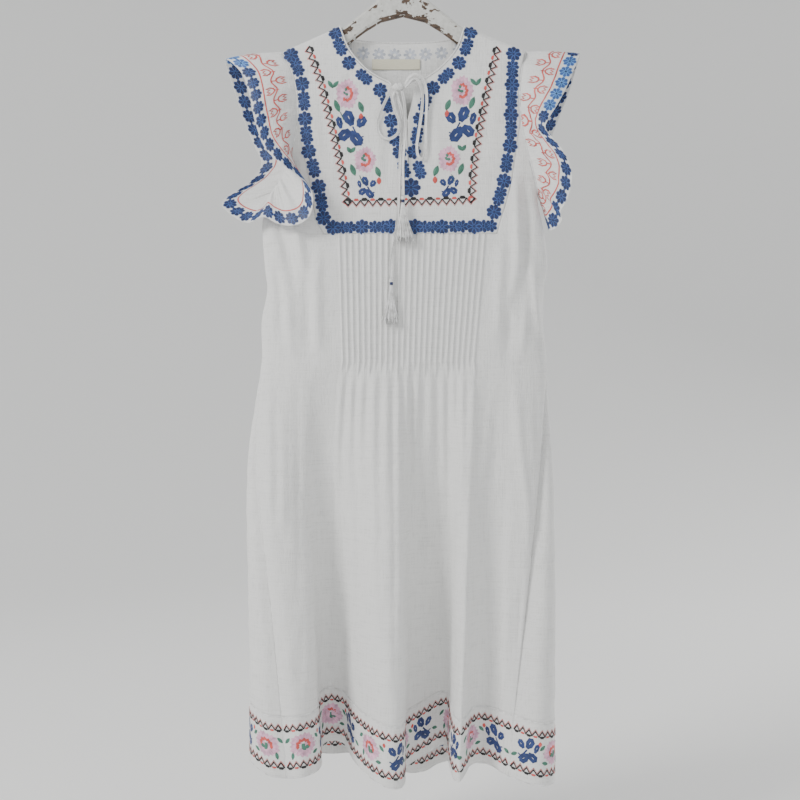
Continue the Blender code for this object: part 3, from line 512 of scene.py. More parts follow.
def smooth(table, keys):
    """Rows of a table at many keys of its first column: cubic, with its neighbours' slopes."""
    rows = np.asarray(table, float)
    first = rows[:, 0]
    keys = np.asarray(keys, float)
    last = len(rows) - 1
    i = np.clip(np.searchsorted(first, keys, side="right") - 1, 0, last - 1)
    before, after = np.maximum(i - 1, 0), np.minimum(i + 2, last)
    span = (first[i + 1] - first[i])[..., None]
    t = np.clip((keys - first[i])[..., None] / span, 0.0, 1.0)
    slope_a = (rows[i + 1] - rows[before]) / (first[i + 1] - first[before])[..., None] * span
    slope_b = (rows[after] - rows[i]) / (first[after] - first[i])[..., None] * span
    square, cube = t * t, t * t * t
    return ((2 * cube - 3 * square + 1) * rows[i] + (cube - 2 * square + t) * slope_a
            + (3 * square - 2 * cube) * rows[i + 1] + (cube - square) * slope_b)


def by_index(table, index):
    """Smooth rows of a table at fractional row numbers."""
    rows = np.asarray(table, float)
    return smooth(np.column_stack([np.arange(len(rows)), rows]), index)[..., 1:]


def resample(points, count, power=1.0):
    """Points spread along a smooth line through the given ones; power crowds the start."""
    fine = by_index(points, np.linspace(0, len(points) - 1, 160))
    lengths = distances(fine)
    wanted = np.linspace(0, 1, count) ** power * lengths[-1]
    return np.stack([np.interp(wanted, lengths, fine[:, k]) for k in range(fine.shape[1])], 1)


def unit(vectors):
    """Vectors brought to length 1."""
    return vectors / np.maximum(np.linalg.norm(vectors, axis=-1, keepdims=True), 1e-12)


def distances(line):
    """Distance of each point of a line from its start, along the line."""
    return np.concatenate([[0], np.cumsum(np.linalg.norm(np.diff(line, axis=0), axis=1))])


def sideways(line):
    """Unit vectors square to a flat line, one at each of its points."""
    run = unit(np.gradient(line, axis=0))
    return np.stack([-run[:, 1], run[:, 0]], 1)


def place(across, drop, forward):
    """World positions from distances across, down and forward in millimetres."""
    across, drop, forward = np.broadcast_arrays(across, drop, forward)
    return np.stack([across * MM, -forward * MM, -(HOOK_TO_NECK + drop) * MM], -1)


def ease(value):
    """Soft step from 0 to 1."""
    value = np.clip(value, 0.0, 1.0)
    return value * value * (3 - 2 * value)


def shoulder_line(across):
    """Drop of the shoulder seam at a distance across; level over the neck."""
    neck = np.where(across < 0, -NECK_LEFT[0][0], NECK_RIGHT[0][0])
    reach = np.where(across < 0, -ARMHOLE[0][1], ARMHOLE[0][2])
    return SHOULDER_DROP * np.clip((np.abs(across) - neck) / (reach - neck), 0.0, 1.0)


def depth(across, drop, side):
    """How far forward the cloth lies above the release line: front is side 1, back -1."""
    across, drop = np.broadcast_arrays(np.asarray(across, float), np.asarray(drop, float))
    body = smooth(BODY, drop)
    half = np.where(across < 0, body[..., 1], body[..., 2])
    share = np.minimum(np.abs(across) / half, 1.0)
    rounded = (1 - share ** 3) ** (1 / 3)
    below = np.clip((drop - shoulder_line(across)) / SHOULDER_ROLL, 0.0, 1.0)
    roll = np.sqrt(np.maximum(1 - (1 - below) ** 2, 0.0))
    return side * np.maximum(body[..., 3 if side > 0 else 4] * rounded * roll, SEAM / 2)


def edge(drop, side):
    """Outer edge of the body's cloth: the armhole, then the side seam."""
    drop = np.asarray(drop, float)
    column = 1 if side < 0 else 2
    armhole = smooth(ARMHOLE, drop)[..., column]
    return np.where(drop < UNDERARM, armhole, side * smooth(BODY, drop)[..., column])


def yoke_edge(drop, side):
    """Outer edge of the yoke, along the armhole and then across the bodice."""
    drop = np.asarray(drop, float)
    column = 1 if side < 0 else 2
    return np.where(drop < YOKE_EDGE[0][0], smooth(ARMHOLE, drop)[..., column],
                    smooth(YOKE_EDGE, drop)[..., column])


def skirt(table, index, fall, side):
    """Points of the skirt: fall is 0 at the release line and 1 at the hem."""
    index, fall = np.broadcast_arrays(np.asarray(index, float), np.asarray(fall, float))
    row = by_index(table, index)
    release, across, forward, drop = (row[..., k] for k in range(4))
    spread = np.clip(fall, 0, None) ** 0.8
    folds = np.array(FRONT_FOLDS + BACK_FOLDS, float)
    blended = folds[:, 0, None] * (1 - spread.ravel()) + folds[:, 1, None] * spread.ravel()
    low = blended.min(0).reshape(spread.shape)
    high = blended.max(0).reshape(spread.shape)
    body = smooth(BODY, RELEASE + (HEM - RELEASE) * fall)
    x = release * (1 - spread) + across * spread
    x = x * np.where(x < 0, body[..., 1] / -low, body[..., 2] / high)
    y = depth(release, RELEASE, side) * (1 - spread) + forward * spread
    return place(x, RELEASE + (drop - RELEASE) * fall, y)


def creased(u, v, creases):
    """Height of soft ridges (above 0) and troughs (below 0) laid along given lines.

    Each crease is (height, width, points): highest at its middle, fading at both ends.
    """
    total = np.zeros(np.broadcast(u, v).shape)
    for height, width, points in creases:
        line = resample(points, 9)
        best = np.full(total.shape, 1e9)
        along = np.zeros(total.shape)
        for k in range(len(line) - 1):
            a, b = line[k], line[k + 1]
            run = b - a
            t = np.clip(((u - a[0]) * run[0] + (v - a[1]) * run[1]) / (run @ run), 0, 1)
            gap = np.hypot(u - a[0] - t * run[0], v - a[1] - t * run[1])
            nearer = gap < best
            best = np.where(nearer, gap, best)
            along = np.where(nearer, (k + t) / (len(line) - 1), along)
        fade = np.sin(np.pi * np.clip(along, 0.02, 0.98)) ** 0.6
        total += height * fade * np.exp(-(best / width) ** 2)
    return total


def ripple(u, v, scale, seed):
    """Uneven small waves that stand in for the crumple of thin washed cotton."""
    total = 0.0
    for k in range(7):
        angle = seed * 1.7 + k * GOLDEN_ANGLE
        pitch = scale * (0.6 + 0.23 * k)
        phase = seed * 3.1 + k * 1.3
        bend = 1.3 * np.sin((u * math.sin(angle) - v * math.cos(angle)) / (pitch * 1.9) + phase)
        total = total + np.sin((u * math.cos(angle) + v * math.sin(angle)) * 6.283 / pitch
                               + phase + bend) / 7
    return total


def yoke_surface(across, drop):
    """The front yoke's cloth over the flat plan of across and drop."""
    relief = creased(across, drop, YOKE_CREASES) + 0.35 * ripple(across, drop, 26, 1)
    quiet = ease((drop - shoulder_line(across)) / 20)
    return place(across, drop, depth(across, drop, 1) + relief * quiet)


def tuck_field(share):
    """Both sides of the pintucks' field, at a share of its way down."""
    return [top + (end - top) * share for top, end in zip(TUCK_FIELD_TOP, TUCK_FIELD_END)]


def edge_quiet(across, drop):
    """Share of the relief that the body's cloth keeps near its side edges."""
    nearness = np.minimum(np.abs(across - edge(drop, -1)), np.abs(across - edge(drop, 1)))
    return ease(nearness / 9)


def tuck_height(across, drop):
    """Height of the pintucks, which fade out below the release line."""
    share = np.clip((drop - YOKE_BOTTOM) / (RELEASE - YOKE_BOTTOM), 0.0, 1.0)
    start, end = tuck_field(share)
    number = (across - start) / (end - start) * (TUCKS - 1)
    nearest = np.clip(np.round(number), 0, TUCKS - 1)
    off = np.abs(number - nearest) * (end - start) / (TUCKS - 1)
    # Each tuck lets go at its own place, a little above or below the release line
    let_go = RELEASE + 7 * np.sin(nearest * 2.7) + 3 * np.sin(nearest * 5.1)
    keep = 1 - ease((drop - let_go) / 24)
    return TUCK_RAISE * 1.7 * keep * np.exp(-(off / 1.15) ** 4)


def front_relief(across, drop):
    """Creases and crumple of the front, calmer between the pintucks."""
    outside = np.maximum(ease((np.abs(across - 12) - 96) / 16), ease((drop - RELEASE) / 90))
    gain = FRONT_GAIN - (FRONT_GAIN - SKIRT_GAIN) * ease((drop - RELEASE + 60) / 120)
    relief = gain * creased(across, drop, FRONT_CREASES + SKIRT_CREASES)
    relief = relief + gain * 0.3 * ripple(across, drop, 34, 2)
    low = ease((drop - RELEASE) / 160)
    relief = relief + SKIRT_CRUMPLE * ripple(across * 1.3, drop * 0.5, 52, 4) * low
    return relief * (0.35 + 0.65 * outside)


def back_relief(across, drop):
    """Creases and crumple of the back."""
    relief = BACK_GAIN * creased(across, drop, BACK_CREASES) + CRUMPLE * ripple(across, drop, 38, 5)
    low = ease((drop - RELEASE) / 120)
    return relief + CRUMPLE * ripple(across * 1.4, drop * 0.45, 46, 9) * low


def front_surface(across, drop):
    """The front's cloth above the release line."""
    relief = front_relief(across, drop) * edge_quiet(across, drop)
    return place(across, drop, depth(across, drop, 1) + relief + tuck_height(across, drop))


def front_index(release):
    """Row numbers of the front's folds at places across the release line."""
    index = np.linspace(0, len(FRONT_FOLDS) - 1, 600)
    return np.interp(release, by_index(FRONT_FOLDS, index)[:, 0], index)


def skirt_surface(table, side, index, fall, relief_of):
    """The skirt's cloth: the folds, with the listed creases along the outward normal."""
    base = skirt(table, index, fall, side)
    step = 0.02
    run = skirt(table, index + step, fall, side) - skirt(table, index - step, fall, side)
    down = skirt(table, index, fall + 0.01, side) - skirt(table, index, fall - 0.01, side)
    normal = unit(np.cross(down, run) * side)
    across, drop = base[..., 0] / MM, -base[..., 2] / MM - HOOK_TO_NECK
    relief = relief_of(across, drop)
    last = len(table) - 1
    relief = relief * ease(np.minimum(index, last - index) / 0.35)
    return base + normal * (relief * MM)[..., None]


def front_skirt(index, fall):
    """The front of the skirt, down to the hem."""
    moved = skirt_surface(FRONT_FOLDS, 1, index, fall, front_relief)
    release = by_index(FRONT_FOLDS, index)[..., 0]
    lift = tuck_height(release, RELEASE + fall * (HEM - RELEASE))
    opened = np.cos((release - TUCK_FIELD_END[0]) / (TUCK_FIELD_END[1] - TUCK_FIELD_END[0])
                    * 2 * np.pi * (TUCKS - 1) / 2.0 + 0.7 * np.sin(release * 0.09))
    inside = ease((TUCK_FIELD_END[1] + 8 - release) / 12) * ease((release + 93) / 12)
    lift = lift + 2.0 * opened * inside * ease(fall * 12) * (1 - ease(fall * 2.0))
    moved[..., 1] -= lift * MM
    return moved


def back_skirt(index, fall):
    """The back of the skirt, down to the hem."""
    return skirt_surface(BACK_FOLDS, -1, index, fall, back_relief)


def back_surface(across, drop):
    """The back's cloth above the release line."""
    relief = back_relief(across, drop)
    quiet = edge_quiet(across, drop) * ease((drop - shoulder_line(across)) / 20)
    return place(across, drop, depth(across, drop, -1) - relief * quiet)


def sleeve_surface(table, hand, ring, reach):
    """A sleeve's cloth: ring counts the table's rows round the armhole, reach is 1 at the hem."""
    ring, reach = np.broadcast_arrays(np.asarray(ring, float), np.asarray(reach, float))
    count = len(table)
    row = by_index(table[-2:] + table + table[:3], np.mod(ring, count) + 2)
    drop, side, bulge, across, hem_drop, forward = (row[..., k] for k in range(6))
    drop = np.clip(drop, SHOULDER_DROP, UNDERARM)
    side = np.clip(side, -1, 1)
    rim = edge(drop, hand)
    inward = np.maximum(0.0, hand * (rim - across)) / np.maximum(np.abs(forward), 10.0)
    away = SLEEVE_START + np.minimum(inward, 1.0) * SLEEVE_INWARD + SLEEVE_UNDER * (drop > 195)
    slope = np.where((drop > 37) & (drop < 242),
                     edge(drop + 1, hand) - edge(drop - 1, hand), 2.0 * hand)
    steep = np.hypot(slope, 2.0)
    start_across = rim + hand * away * 2.0 / steep
    start_drop = drop - hand * away * slope / steep * (drop > 140)
    start_forward = np.where(side > 0, depth(rim * 0.995, drop, 1),
                             -depth(rim * 0.995, drop, -1)) * side
    turn = ring / count
    gather = GATHER_RAISE * np.cos(2 * np.pi * GATHERS * turn)
    fine = 0.9 * np.cos(2 * np.pi * GATHERS * 2.3 * turn + 2.0 * np.sin(12 * np.pi * turn))
    long_fold = 1.5 * np.cos(2 * np.pi * 9 * turn + 1.4 * np.sin(4 * np.pi * turn))
    r = reach
    rise = np.minimum(4 * r, 1)
    swell = 4 * r * (1 - r) * bulge + (gather + fine) * (1 - r) ** 1.6 * rise
    swell = swell + long_fold * np.sin(np.pi * np.clip(r, 0, 1)) * 0.8
    swell = swell + 0.5 * ripple(ring * 28, r * 90, 30, 3 + hand) * rise
    outward = np.where(side >= 0, 1.0, -1.0)
    return place(start_across * (1 - r) + across * r + hand * swell * 0.4,
                 start_drop * (1 - r) + hem_drop * r,
                 start_forward * (1 - r) + forward * r + outward * swell)


def outward_normal(surface, u, v, sign, step):
    """Unit normals of a surface, from small steps across and down."""
    run = surface(u + step, v) - surface(u - step, v)
    down = surface(u, v + step) - surface(u, v - step)
    return unit(np.cross(down, run) * sign)


def object_from(name, points, faces, materials, numbers=None):
    """Mesh object from points and faces; numbers gives each face its material."""
    data = bpy.data.meshes.new(name)
    data.from_pydata([tuple(p) for p in points], [], faces)
    for finish in materials:
        data.materials.append(finish)
    if numbers is not None:
        data.polygons.foreach_set("material_index", numbers)
    data.polygons.foreach_set("use_smooth", [True] * len(data.polygons))
    data.update()
    made = bpy.data.objects.new(name, data)
    bpy.context.scene.collection.objects.link(made)
    return made


def tube_faces(sides, count):
    """Faces of a closed tube whose points run along one side after another."""
    faces = [[k * count + i, k * count + i + 1, (k + 1) % sides * count + i + 1,
              (k + 1) % sides * count + i] for k in range(sides) for i in range(count - 1)]
    return faces + [[k * count for k in range(sides)],
                    [k * count + count - 1 for k in reversed(range(sides))]]


def ring_faces(first, rings, sides):
    """Faces between rings of points that follow one another from a first point."""
    faces = []
    for i in range(rings - 1):
        for k in range(sides):
            a = first + i * sides + k
            b = first + i * sides + (k + 1) % sides
            faces.append([a, a + sides, b + sides, b])
    return faces


def grid_faces(first, rows, columns, flip):
    """Faces of a grid of points, row by row, turned over where flip says so."""
    faces = []
    for i in range(rows - 1):
        for j in range(columns - 1):
            a = first + i * columns + j
            quad = [a, a + 1, a + columns + 1, a + columns]
            faces.append(quad if flip else quad[::-1])
    return faces


def carried(made, slot, *nodes):
    """Ties a piece to the dress and hides the solids that it stands for; slot is not used."""
    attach(made, "root")
    if nodes:
        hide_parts(*nodes)
    return made


def cloth(name, grids, thickness, nodes):
    """Thin shell from grids of points whose shared edges are welded."""
    points, faces = [], []
    for grid, flip in grids:
        faces += grid_faces(len(points), *grid.shape[:2], flip)
        points.extend(grid.reshape(-1, 3))
    made = object_from(name, points, faces, [COTTON])
    mesh = bmesh.new()
    mesh.from_mesh(made.data)
    bmesh.ops.remove_doubles(mesh, verts=mesh.verts, dist=2e-5)
    mesh.to_mesh(made.data)
    mesh.free()
    made.data.polygons.foreach_set("use_smooth", [True] * len(made.data.polygons))
    shell = made.modifiers.new("cloth", "SOLIDIFY")
    shell.thickness = thickness * MM
    shell.offset = 0.0
    carried(made, "white_cotton", *nodes)
    return made


def coons(top, right, bottom, left):
    """Grid of flat points inside four edges, as fabric stretched between them."""
    u = np.linspace(0, 1, len(top))[None, :, None]
    v = np.linspace(0, 1, len(left))[:, None, None]
    ruled = (1 - v) * top[None] + v * bottom[None] + (1 - u) * left[:, None] + u * right[:, None]
    return ruled - ((1 - v) * ((1 - u) * top[0] + u * top[-1])
                    + v * ((1 - u) * bottom[0] + u * bottom[-1]))


def joined(*parts):
    """Lines end to end, with the shared points once."""
    return np.concatenate([parts[0]] + [part[1:] for part in parts[1:]])


def shoulder_points(side, count):
    """Shoulder seam from the armhole to the neck point."""
    outer = float(edge(SHOULDER_DROP, side))
    neck = NECK_LEFT[0][0] if side < 0 else NECK_RIGHT[0][0]
    places = np.linspace(outer, neck, count)
    return np.stack([places, shoulder_line(places)], 1)


def rounding(count):
    """Shares from the edge inward, closer together where the cloth rounds over."""
    return 1 - np.cos(np.linspace(0, np.pi / 2, count))


def eased_rows(start, end, count, power=2.0):
    """Drops from start to end, crowded at the start."""
    return start + (end - start) * np.linspace(0, 1, count) ** power


def build_yoke():
    """The embroidered yoke: two halves that meet down the centre front."""
    grids = []
    for side, neckline, slit in ((-1, NECK_LEFT, SLIT_LEFT), (1, NECK_RIGHT, SLIT_RIGHT)):
        drops = joined(eased_rows(SHOULDER_DROP, 62, 16), np.linspace(62, YOKE_BOTTOM, 74))
        outer = np.stack([yoke_edge(drops, side), drops], 1)
        top = joined(shoulder_points(side, 24), resample(neckline, 72, 1.2))
        share = (drops - drops[0]) / (drops[-1] - drops[0])
        centre_drop = slit[0][1] + (CENTRE_FOOT[1] - slit[0][1]) * share
        slit_table = [(drop, across) for across, drop in slit]
        centre = [(slit[-1][1], slit[-1][0]), (CENTRE_FOOT[1], CENTRE_FOOT[0])]
        middle = np.where(centre_drop < slit[-1][1], smooth(slit_table, centre_drop)[:, 1],
                          smooth(centre, centre_drop)[:, 1])
        bottom = resample((outer[-1], CENTRE_FOOT), len(top))
        flat = coons(top, np.stack([middle, centre_drop], 1), bottom, outer)
        grids.append((yoke_surface(flat[..., 0], flat[..., 1]), side > 0))
    return cloth("yoke_cloth", grids, YOKE_VOILE, ["front_yoke"])


def build_front():
    """The front panel: strips beside the yoke, the pintucks, and the skirt's folds."""
    foot = YOKE_BOTTOM + SEAM
    ends = 34
    grids = []
    drops = np.append(np.arange(126, foot - 2, 3.6), foot)
    for side in (-1, 1):
        outer = edge(drops, side)[:, None]
        inner = (yoke_edge(drops, side) + side * SEAM)[:, None]
        inner[-1] = yoke_edge(foot - SEAM, side) + side * SEAM
        even = np.linspace(0, 1, ends)[None]
        mix = np.clip((drops - STRIP_EVEN) / (UNDERARM - STRIP_EVEN), 0, 1)[:, None]
        shares = even + (rounding(ends)[None] - even) * mix
        across = outer + (inner - outer) * shares
        grids.append((front_surface(across, np.broadcast_to(drops[:, None], across.shape)),
                      side > 0))
    rows = np.append(np.arange(foot, RELEASE - 2, 3.6), RELEASE)
    upper = []
    for drop in rows:
        share = (drop - foot) / (RELEASE - foot)
        start, end = tuck_field(share)
        start, end = start - 4.3, end + 4.3
        lefts = float(edge(drop, -1)), float(yoke_edge(foot - SEAM, -1)) - SEAM + 6 * share
        rights = float(edge(drop, 1)), float(yoke_edge(foot - SEAM, 1)) + SEAM - 4 * share
        left = lefts[0] + (lefts[1] - lefts[0]) * rounding(ends)
        right = rights[0] + (rights[1] - rights[0]) * rounding(ends)
        places = np.linspace(start, end, TUCKS * TUCK_COLUMNS + 1)
        upper.append(np.concatenate([left, np.linspace(left[-1], start, 6)[1:-1], places,
                                     np.linspace(end, right[-1], 6)[1:-1], right[::-1]]))
    upper = np.array(upper)
    grids.append((front_surface(upper, np.broadcast_to(rows[:, None], upper.shape)), False))
    index = front_index(upper[-1])
    falls = joined(np.linspace(0, 0.06, 11), np.linspace(0.06, BAND_FALL, 118))
    lower = front_skirt(index[None, :], falls[:, None])
    lower[0] = grids[-1][0][-1]
    grids.append((lower, False))
    return cloth("front_cloth", grids, VOILE, ["front_panel"])


def build_back():
    """The back in one piece, from the shoulders to the band."""
    columns, shoulder = 151, 30
    index = np.linspace(0, len(BACK_FOLDS) - 1, columns)
    release = by_index(BACK_FOLDS, index)[:, 0]
    share = release / np.where(release < 0, -BACK_FOLDS[0][0], BACK_FOLDS[-1][0])
    half = (columns - 2 * shoulder) // 2 + 1
    neck = joined(resample(NECK_BACK[:4], half, 1.2), resample(NECK_BACK[:2:-1], half, 1.2)[::-1])
    top = joined(shoulder_points(-1, shoulder + 1), neck, shoulder_points(1, shoulder + 1)[::-1])
    under = np.stack([np.abs(share) * np.where(share < 0, edge(UNDERARM, -1), edge(UNDERARM, 1)),
                      np.full(columns, UNDERARM)], 1)
    drops = joined(eased_rows(SHOULDER_DROP, 62, 14), np.linspace(62, UNDERARM, 44))
    sides = [np.stack([edge(drops - 0.001, side), drops], 1) for side in (-1, 1)]
    flat = coons(top, sides[1], under, sides[0])
    patch = back_surface(flat[..., 0], flat[..., 1])
    rows = np.linspace(UNDERARM, RELEASE, 52)[:, None]
    body = smooth(BODY, rows[:, 0])
    across = share[None] * np.where(share[None] < 0, body[:, 1:2], body[:, 2:3])
    middle = back_surface(across, np.broadcast_to(rows, across.shape))
    falls = np.linspace(0, BAND_FALL, 110)[:, None]
    lower = back_skirt(index[None, :], falls)
    middle[0], lower[0] = patch[-1], middle[-1]
    return cloth("back_cloth", [(patch, True), (middle, True), (lower, True)], VOILE,
                 ["back_panel"])


def build_bands():
    """The hem band, sewn on below the skirt, front and back."""
    falls = np.linspace(BAND_FALL + 0.0006, 1.0, 24)[:, None]
    for name, table, surface, columns, node, cut in (
            ("hem_band_front_cloth", FRONT_FOLDS, front_skirt, 330, "hem_band_front", FRONT_BAND),
            ("hem_band_back_cloth", BACK_FOLDS, back_skirt, 260, "hem_band_back", BACK_BAND)):
        index = np.linspace(0, len(table) - 1, columns)[None, :]
        cloth(name, [(surface(index, falls), surface is back_skirt)], BAND_VOILE, [node])


def build_sleeve(name, table, hand, node):
    """One flutter sleeve, gathered at the armhole and free at its wavy hem."""
    ring = np.linspace(0, len(table), 300)[None, :]
    reach = (np.linspace(0, 1, 64) ** 0.85)[:, None]
    grid = sleeve_surface(table, hand, ring, reach)
    grid[:, -1] = grid[:, 0]
    return cloth(name, [(grid, hand < 0)], VOILE, [node])


class Threads:
    """Raised stitches on one surface, drawn in its flat coordinates in millimetres."""

    def __init__(self):
        self.flat, self.high, self.faces, self.colours = [], [], [], []
        self.count = 0
        self.reverse = 0

    def add(self, points, high, faces, colour):
        """Keep points, their heights over the cloth, and faces of one colour."""
        self.flat.append(np.asarray(points, float))
        self.high.append(np.broadcast_to(high, len(points)).astype(float))
        self.faces += [[n + self.count for n in face] for face in faces]
        self.colours += [colour] * len(faces)
        self.count += len(points)

    def line(self, points, width, colour, closed=False, high=0.5, low=0.2):
        """A row of satin stitch along a line: low at its edges, crowned along its middle."""
        points = np.asarray(points, float)
        if closed:
            points = np.concatenate([points, points[:1]])
            around = np.concatenate([points[-2:-1], points, points[1:2]])
            run = unit(around[2:] - around[:-2])
            aside = np.stack([-run[:, 1], run[:, 0]], 1) * width / 2
        else:
            aside = sideways(points) * width / 2
        count = len(points)
        rows = np.concatenate([points - aside, points, points + aside])
        heights = np.concatenate([np.full(count, low), np.full(count, high), np.full(count, low)])
        faces = []
        for k in range(count - 1):
            for first in (0, count):
                faces.append([first + k, first + k + 1, first + count + k + 1, first + count + k])
        self.add(rows, heights, faces, colour)

    def patch(self, outline, colour, high=0.5, low=0.1):
        """A filled shape of satin stitch, low at its outline."""
        outline = np.asarray(outline, float)
        centre = outline.mean(0)
        inner = centre + (outline - centre) * 0.6
        count = len(outline)
        faces = []
        for k in range(count):
            after = (k + 1) % count
            faces.append([k, after, count + after, count + k])
            faces.append([count + k, count + after, 2 * count])
        points = np.concatenate([outline, inner, centre[None]])
        heights = np.concatenate([np.full(count, low), np.full(count, high), [high * 1.1]])
        self.add(points, heights, faces, colour)

    def build(self, name, surface, sign, step, lift=0.34):
        """The mesh of the stitches; the first ones, up to reverse, show on both sides."""
        flat, high = np.concatenate(self.flat), np.concatenate(self.high)
        u, v = flat[:, 0], flat[:, 1]
        middle = surface(u, v)
        normal = outward_normal(surface, u, v, sign, step)
        points = middle + normal * ((high + lift) * MM)[:, None]
        faces, colours = list(self.faces), list(self.colours)
        if self.reverse:
            under = middle - normal * ((high * 0.7 + lift) * MM)[:, None]
            used = max(max(face) for face in self.faces[:self.reverse]) + 1
            faces += [[n + self.count for n in reversed(face)] for face in self.faces[:self.reverse]]
            colours += self.colours[:self.reverse]
            points = np.concatenate([points, under[:used]])
        names = sorted(set(colours))
        made = object_from(name, points, faces, [THREAD[n] for n in names],
                           [names.index(c) for c in colours])
        return carried(made, "white_cotton")


def turned(points, centre, angle, scale=1.0):
    """Local points turned, scaled and moved to a centre; angle 0 keeps +y downward."""
    points = np.asarray(points, float) * scale
    c, s = math.cos(angle), math.sin(angle)
    return np.stack([points[:, 0] * c - points[:, 1] * s + centre[0],
                     points[:, 0] * s + points[:, 1] * c + centre[1]], 1)


def petal(inner, outer, half):
    """Outline of one looped petal that grows along +x."""
    t = np.linspace(0, 2 * np.pi, 9, endpoint=False)
    x = inner + (outer - inner) * (1 - np.cos(t)) / 2
    return np.stack([x, half * np.sin(t) * (0.65 + 0.35 * (1 - np.cos(t)) / 2)], 1)


def flower(threads, centre, radius, start=0.0, petals=8, bright=False):
    """Round flower of looped petals about a dark middle."""
    # Sunlit flowers get lighter blues, painted sunlight; the rest keep navy with blue rims
    fill, rim = ("blue", "blue_light") if bright else ("navy", "blue")
    for k in range(petals):
        angle = start + 2 * math.pi * k / petals
        shape = petal(radius * 0.16, radius, radius * 0.33)
        threads.patch(turned(shape, centre, angle), fill, 0.35)
        threads.line(turned(shape, centre, angle), 0.8, rim, closed=True, high=0.6)
    threads.patch(turned(ring_points(radius * 0.2, 8), centre, 0), "navy", 0.7)


def double_flower(threads, centre, radius, angle, bright=False):
    """Two small flowers worked into each other along the chain."""
    for number, away in enumerate((-0.46, 0.46)):
        middle = (centre[0] + math.cos(angle) * radius * away,
                  centre[1] + math.sin(angle) * radius * away)
        flower(threads, middle, radius * 0.76, angle + 0.4 + 1.9 * number, 7, bright)


def chain(threads, centres, radius, bright=(), doubles=True):
    """Row of whole flowers, with double ones in turn, along a list of centres."""
    centres = np.asarray(centres, float)
    run = np.gradient(centres, axis=0)
    for k, centre in enumerate(centres):
        along = math.atan2(run[k, 1], run[k, 0])
        if k % 2 and doubles:
            double_flower(threads, centre, radius * 1.1, along, k in bright)
        else:
            flower(threads, centre, radius, along, bright=k in bright)


def leaf(threads, centre, length, width, angle, colour, vein=None, low=0.1):
    """Pointed leaf with an optional vein."""
    t = np.linspace(0, 1, 8)
    half = width / 2 * np.sin(np.pi * t) ** 0.8
    upper = np.stack([(t - 0.5) * length, half], 1)
    outline = np.concatenate([upper, upper[1:-1][::-1] * [1, -1]])
    threads.patch(turned(outline, centre, angle), colour, low + 0.4, low)
    if vein:
        spine = np.stack([(np.linspace(0.08, 0.92, 5) - 0.5) * length, np.zeros(5)], 1)
        threads.line(turned(spine, centre, angle), 0.8, vein, high=0.75)


def rose(threads, centre, width, height, angle):
    """Rose with a stepped outline, an open curl of red and a green heart."""
    t = np.linspace(0, 2 * np.pi, 36, endpoint=False)
    stepped = 1 + 0.08 * np.cos(18 * t) + 0.06 * np.cos(5 * t + 0.6)
    body = np.stack([np.cos(t) * width / 2 * stepped, np.sin(t) * height / 2 * stepped], 1)
    threads.patch(turned(body, centre, 0), "pink", 0.45)
    for k in range(11):
        ray = angle + 2 * math.pi * (k + 0.3) / 11
        line = [(math.cos(ray) * width * s, math.sin(ray) * height * s) for s in (0.27, 0.44)]
        threads.line(turned(line, centre, 0), 1.0, "pink_deep", high=0.62)
    arc = np.linspace(-2.1, 2.1, 14) + angle
    reach = 0.22 + 0.035 * np.cos(9 * arc)
    curl = np.stack([np.cos(arc) * width * reach, np.sin(arc) * height * reach], 1)
    threads.line(turned(curl, centre, 0), 4.2, "red", high=0.85, low=0.5)
    for k, away in enumerate((0.02, 0.13, 0.17)):
        ray = angle + math.pi + (k - 1) * 0.9
        spot = (centre[0] + math.cos(ray) * width * away, centre[1] + math.sin(ray) * height * away)
        leaf(threads, spot, width * 0.22, width * 0.14, ray + 0.7, "green", low=0.52)
    gap = (centre[0] + math.cos(angle) * width * 0.1, centre[1] + math.sin(angle) * height * 0.1)
    leaf(threads, gap, width * 0.14, width * 0.08, angle + 1.5, "white", low=0.5)


def loop(threads, centre, length, width, angle, colour):
    """Leaf of thick looped stitches with a pale slit along its middle."""
    t = np.linspace(0, 2 * np.pi, 14, endpoint=False)
    outline = np.stack([np.cos(t) * length / 2, np.sin(t) * width / 2], 1)
    outline[:, 1] *= 1 + 0.2 * np.cos(t)
    threads.patch(turned(outline * (1 + 0.07 * np.cos(7 * t))[:, None], centre, angle), colour, 0.5)
    slit = outline * (0.25, 0.06) + (0.05 * length, 0)
    threads.patch(turned(slit, centre, angle), "white", 0.7, 0.5)


def butterfly(threads, centre, width, height, flip=1):
    """Cluster of looped blue leaves about one stem."""
    wide, tall = width / 27, height / 30
    size = math.sqrt(abs(wide * tall))
    for x, y, length, thick, angle in BLUE_CLUSTER:
        middle = (centre[0] + x * size * flip, centre[1] + y * size * math.copysign(1.1, tall))
        own = math.atan2(math.sin(angle) * tall, math.cos(angle) * flip * wide)
        loop(threads, middle, length * size, thick * size, own, "cluster_blue")
    for thick, high, points in ((2.2, 0.7, ((-1.0, -2.0), (3.0, 3.6), (8.0, 8.5), (10.5, 12.5))),
                                (1.8, 0.6, ((7.0, 7.6), (11.5, 6.2)))):
        stem = [(x * wide * flip, y * tall) for x, y in points]
        threads.line(turned(stem, centre, 0), thick, "cluster_blue", high=high)


